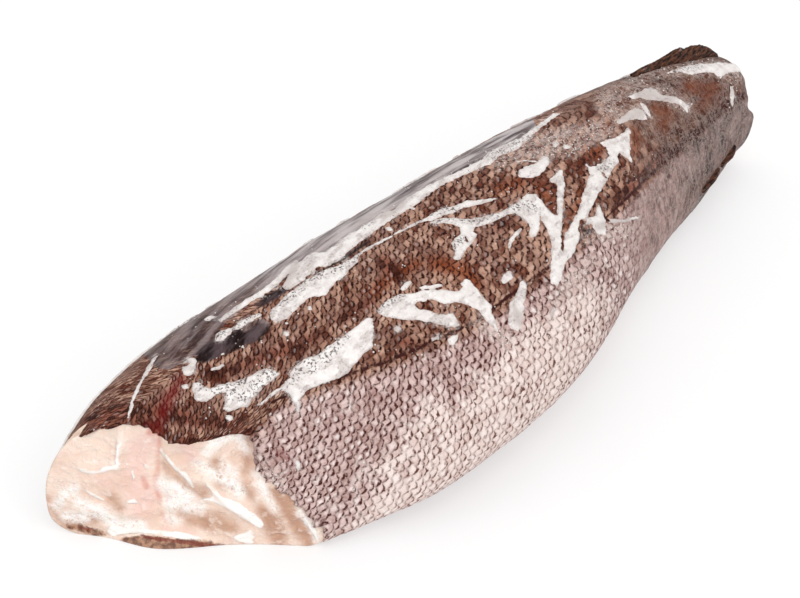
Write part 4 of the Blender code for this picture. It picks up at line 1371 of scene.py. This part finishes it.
def end_piece(name, places, surface, outward, depth, material, relief, covered):
    """A block of flesh that fills one end: its cut face is an even net that follows the end surface. It lies
    under the skin's edge where covered is 1 and fills the outline where it is 0."""
    yz = on_skin(places)
    inward = inward_of(yz)
    rim = yz + inward * (RIM_IN + RIM_IN_COVERED * covered)[:, None]
    rim[:, 1] = np.maximum(rim[:, 1] - RIM_LOWERED * (1 - ease(yz[:, 1] / RIM_LOWERED_BELOW)), 0.0)
    low, high = rim.min(axis=0), rim.max(axis=0)
    border = np.vstack([rim, rim + (np.roll(rim, -1, axis=0) - rim) * 0.5])
    points = [Vector(p) for p in rim]
    row_pitch = FLESH_PITCH * math.sqrt(0.75)
    for row, z in enumerate(np.arange(low[1], high[1], row_pitch)):
        ys = np.arange(low[0] + (row % 2) * FLESH_PITCH / 2, high[0], FLESH_PITCH)
        spots = np.column_stack([ys, np.full(len(ys), z)])
        away = np.linalg.norm(border[None] - spots[:, None], axis=2).min(axis=1)
        points.extend(Vector((y, z)) for y in ys[away > FLESH_PITCH * RIM_CLEAR])
    edges = [(k, (k + 1) % AROUND) for k in range(AROUND)]
    flat, _, faces, _, _, _ = delaunay_2d_cdt(points, edges, [], 1, SAME_POINT)
    flat = np.array([tuple(p) for p in flat])
    face_points = np.column_stack([surface(flat[:, 0], flat[:, 1]), flat])
    distances = np.array([np.linalg.norm(rim - p, axis=1) for p in flat])
    from_rim = np.clip(distances.min(axis=1) / RIM_ROUND, 0, 1)
    edge_round = RIM_ROUND * (0.25 + 0.25 * covered[distances.argmin(axis=1)])
    rounded = edge_round * (1 - np.sqrt(1 - (1 - from_rim) ** 2))
    face_points[:, 0] -= outward * (np.maximum(relief(face_points), 0) * ease(from_rim) + rounded)
    mesh_faces = []
    for a, b, c in faces:
        turn = np.cross(flat[b] - flat[a], flat[c] - flat[a]) > 0
        mesh_faces.append((a, b, c) if turn == (outward > 0) else (a, c, b))
    back_rim = rim + inward * (BACK_IN + BACK_IN_COVERED * covered)[:, None]
    back_rim[:, 1] = np.maximum(back_rim[:, 1], BACK_OFF_FLOOR)
    back = np.column_stack([places - outward * depth, back_rim])
    points = np.vstack([face_points, back, back.mean(axis=0)])
    count = len(face_points)
    for k in range(AROUND):
        after = (k + 1) % AROUND
        wall = (k, after, count + after, count + k)
        lid = (count + AROUND, count + k, count + after)
        mesh_faces.append(wall[::-1] if outward > 0 else wall)
        mesh_faces.append(lid[::-1] if outward > 0 else lid)
    return new_piece(name, points, mesh_faces, material), points


def flesh_relief(points):
    """Fine dents and flakes of frozen flesh, in millimetres under the cut."""
    flakes = 1.5 * np.abs(wobble(points * np.array([1, 0.6, 1]), 7, 6)) + 0.4 * wobble(points, 2.6, 7)
    return 0.3 + flakes


def head_relief(points):
    """The head cut's dents, with its tendons standing out of them."""
    tendon = 1 - ease(outside(on_photo(points), TENDONS) / 2 + 0.5)
    return flesh_relief(points) * (1 - 0.5 * tendon) - 0.3 * tendon


def head_flesh():
    """The head cut's flesh, with its shapes laid where the photograph shows them. Gives back its material."""
    material = flesh_finish()
    piece, points = end_piece(
        "head_cut_flesh", first_edge, cut_at, -1, HEAD_DEEP, material, head_relief, EDGE_ON_TOP
    )
    spots = on_photo(points)
    carry(piece, "flesh_a", [outside(spots, s) for s in (TENDONS, FLESH_FROST, FLESH_TAN)])
    carry(piece, "flesh_b", [outside(spots, s) for s in (FLESH_RED, FLESH_PINK, BELLY_LINING)])
    blood = outside(spots, BLOOD_LINE)
    carry(piece, "flesh_c", [blood, blood * 0, blood * 0])
    return material


def tail_flesh(material):
    """The tail cut's flesh, finished like the head cut's."""
    covered = np.ones(AROUND)
    piece, points = end_piece(
        "tail_cut_flesh", last_edge, tail_at, 1, TAIL_DEEP, material, flesh_relief, covered
    )
    white, frost, red = [
        outside(points[:, 1:], s) * PIXELS_A_MM for s in (TAIL_TENDONS, TAIL_FROST, TAIL_RED)
    ]
    none = np.full(len(points), NO_MARK)
    faint = np.full(len(points), FAINT_MARK)
    carry(piece, "flesh_a", [white, frost, faint])
    carry(piece, "flesh_b", [red, faint, none])
    carry(piece, "flesh_c", [none, none, none])


def ice_piece():
    """Raised ribbons of ice: a closed sheet that rises steeply out of the skin along their outlines."""
    inside = -ICE_AWAY * MM_A_PIXEL
    lumps = ICE_LUMPS * wobble(FINE.points, 3.4, 8) * np.clip(inside, 0, 1)
    swollen = ICE_THICK * (1 - np.exp(-inside / ICE_EDGE)) + lumps
    height = np.where(inside > 0, swollen, inside * ICE_SKIRT_SLOPE)
    skin = finer(DEPTH)
    off_floor = finer(OFF_FLOOR)
    wanted = ICE_AWAY < ICE_SKIRT_PIXELS
    wanted[:4] = False
    beside = np.roll(wanted, -1, axis=1)
    rows, columns = np.nonzero(wanted[:-1] & wanted[1:] & beside[:-1] & beside[1:])
    wide = wanted.shape[1]
    after = (columns + 1) % wide
    here = rows * wide + columns
    beyond = rows * wide + after
    corners = np.stack([here, beyond, beyond + wide, here + wide], axis=1)
    used, back = np.unique(corners, return_inverse=True)
    corners = back.reshape(-1, 4)
    upper = np.minimum(skin + height, -ICE_UNDER) * off_floor
    lower = skin * off_floor - ICE_BELOW_SKIN
    top = (FINE.points + FINE.normals * upper[:, :, None]).reshape(-1, 3)[used]
    under = (FINE.points + FINE.normals * lower[:, :, None]).reshape(-1, 3)[used]
    count = len(used)
    pairs = {}
    for quad in corners:
        for a, b in zip(quad, np.roll(quad, -1)):
            key = (min(a, b), max(a, b))
            pairs[key] = None if key in pairs else (a, b)
    faces = [tuple(q) for q in corners] + [tuple(q[::-1] + count) for q in corners]
    faces += [(b, a, a + count, b + count) for edge in pairs.values() if edge for a, b in [edge]]
    points = np.vstack([top, under])
    points[:, 2] = np.maximum(points[:, 2], ICE_OFF_FLOOR)
    piece = new_piece("ice_ribbons", points, faces, ice_finish())
    looks = [inside, FINE.patch(ICE_SPECKS, 6), FINE.patch(ICE_CLEAR, 6)]
    carry(piece, "glaze", [np.tile(look.reshape(-1)[used], 2) for look in looks])


def skin_point(at, share):
    """A point of the skin and the direction out of it."""
    ring = on_skin(np.full(AROUND, at))
    place = (share % 1.0) * AROUND
    k = int(place)
    here, after = ring[k % AROUND], ring[(k + 1) % AROUND]
    y, z = here + (after - here) * (place - k)
    along = after - here
    out = np.array([0, along[1], -along[0]])
    return np.array([at, y, z]), out / np.linalg.norm(out)


def fin_piece(name, share, folds, seed, material):
    """A frozen fin stub: flaps folded back along the body, thin at the top and grooved between their rays."""
    rng = random.Random(seed)
    points = []
    faces = []
    for fold in folds:
        begin, end = fold[0][0], fold[-1][0]
        count = int((end - begin) / FIN_STEP)
        start = len(points)
        wide = 2 * len(FIN_LEVELS)
        for k in range(count + 1):
            at = begin + (end - begin) * k / count
            root, out = skin_point(at, share)
            side = np.cross(out, (1.0, 0, 0))
            tip = float(np.interp(at, *zip(*fold))) * rng.uniform(FIN_LEAST_TIP, 1.0)
            fibres = []
            for level in FIN_LEVELS:
                rise = level if level < 0 else level * tip
                groove = FIN_GROOVE * math.sin(at * 1.7 - level * 3.0) * math.sin(math.pi * max(level, 0.0))
                thick = FIN_HALF * (1 - FIN_THINNING * max(level, 0.0) ** 1.5) + groove
                spot = root + out * rise + np.array([FIN_LEAN * max(level, 0) * tip, 0, 0])
                fibres.append((spot - side * thick, spot + side * thick))
            points.extend([f[0] for f in fibres] + [f[1] for f in reversed(fibres)])
        for k in range(count):
            a = start + k * wide
            for j in range(wide):
                faces.append((a + j, a + (j + 1) % wide, a + wide + (j + 1) % wide, a + wide + j))
        faces.append(tuple(range(start + wide - 1, start - 1, -1)))
        last = start + count * wide
        faces.append(tuple(range(last, last + wide)))
    piece = new_piece(name, points, faces, material)
    fix = bmesh.new()
    fix.from_mesh(piece.data)
    bmesh.ops.recalc_face_normals(fix, faces=fix.faces)
    fix.to_mesh(piece.data)
    fix.free()


GRAINS_BY_ICE = 160
GRAINS_ON_DUST = 220
GRAINS_ON_FACE = 160
GRAINS_ABOVE = 5
FACE_TRIES = 9000
FACE_SUNK = 0.7
GRAIN_SIZES = (0.14, 0.34)
GRAIN_STRETCHES = (0.6, 1.3)
GRAIN_ROUGHNESS = (-0.2, 0.2)
GRAIN_RAISED = 0.3


def grains_piece():
    """Grains of frost, scattered over the frosted flesh and skin and along the ice."""
    rng = np.random.default_rng(4)
    spots = []
    ice = ICE_AWAY[::2, ::2]
    for keep, count in (((ice > 1) & (ice < 6), GRAINS_BY_ICE), (DUST_ON > 0.3, GRAINS_ON_DUST)):
        keep = keep & (NET[:, :, 2] > GRAINS_ABOVE)
        keep[:3] = False
        rows, columns = np.nonzero(keep)
        picked = rng.choice(len(rows), count, replace=False)
        spots += [(SKIN[r, c], NORMALS[r, c]) for r, c in zip(rows[picked], columns[picked])]
    yz = on_skin(first_edge)
    tries = rng.uniform(yz.min(axis=0) + 4, yz.max(axis=0) - 3, (FACE_TRIES, 2))
    face = np.column_stack([cut_at(tries[:, 0], tries[:, 1]), tries])
    frost = outside(on_photo(face), FLESH_FROST)
    ahead = np.array([-1.0, -CUT_SKEW, 0.0]) / math.hypot(1, CUT_SKEW)
    spots += [(p - ahead * FACE_SUNK, ahead) for p in face[frost < 0][:GRAINS_ON_FACE]]
    shape = bmesh.new()
    bmesh.ops.create_icosphere(shape, subdivisions=1, radius=1.0)
    ball = np.array([v.co for v in shape.verts])
    ball_faces = np.array([[v.index for v in f.verts] for f in shape.faces])
    shape.free()
    points = []
    faces = []
    for spot, out in spots:
        size = rng.uniform(*GRAIN_SIZES)
        stretch = rng.uniform(*GRAIN_STRETCHES, 3)
        jitter = 1 + rng.uniform(*GRAIN_ROUGHNESS, (len(ball), 1))
        faces.append(ball_faces + len(points) * len(ball))
        points.append(spot + out * size * GRAIN_RAISED + ball * jitter * size * stretch)
    faces = [tuple(f) for f in np.vstack(faces)]
    new_piece("frost_grains", np.vstack(points), faces, frost_finish())


# ---------------------------------------------------------------- stage


FLOOR_HALF = 6.0
SKY_STRENGTH = 0.74
SENSOR_WIDTH = 36.0


def lay_floor():
    """A wide pale floor under the fish."""
    mesh = bpy.data.meshes.new("floor")
    corners = [(x * FLOOR_HALF, y * FLOOR_HALF, 0) for x, y in ((-1, -1), (1, -1), (1, 1), (-1, 1))]
    mesh.from_pydata(corners, [], [(0, 1, 2, 3)])
    mesh.materials.append(floor_finish())
    in_scene("floor", mesh)


def soft_light(name, place, strength, spread):
    """A wide soft light that shines from a place towards the fish."""
    lamp = bpy.data.lights.new(name, "SUN")
    lamp.energy = strength
    lamp.angle = spread
    holder = in_scene(name, lamp)
    holder.rotation_euler = (-Vector(place)).to_track_quat("-Z", "Y").to_euler()


def set_lights():
    """Bright even surroundings with a soft key from above the left flank."""
    bpy.context.scene.view_settings.view_transform = "Standard"
    world = bpy.data.worlds.new("studio")
    bpy.context.scene.world = world
    world.use_nodes = True
    sky = world.node_tree.nodes["Background"].inputs
    sky["Color"].default_value = WHITE
    sky["Strength"].default_value = SKY_STRENGTH
    soft_light("key", (-0.45, -0.75, 0.95), 1.3, 1.0)
    soft_light("fill", (-0.1, 0.4, 1.0), 0.35, 1.0)


def set_camera():
    """The photographer's camera."""
    lens = bpy.data.cameras.new("camera")
    lens.sensor_width = SENSOR_WIDTH
    lens.lens = PIXELS_PER_RADIAN * lens.sensor_width / PHOTO_SIZE[0]
    camera = in_scene("camera", lens)
    camera.location = EYE
    camera.rotation_euler = Vector(EYE_AHEAD).to_track_quat("-Z", "Y").to_euler()
    bpy.context.scene.camera = camera


set_camera()
set_lights()
lay_floor()
skin_piece()
flesh = head_flesh()
tail_flesh(flesh)
ice_piece()
fin = fin_finish()
fin_piece("dorsal_fin_stub", DORSAL_SHARE, DORSAL_FOLDS, 7, fin)
fin_piece("anal_fin_stub", ANAL_SHARE, ANAL_FOLDS, 8, fin)
grains_piece()
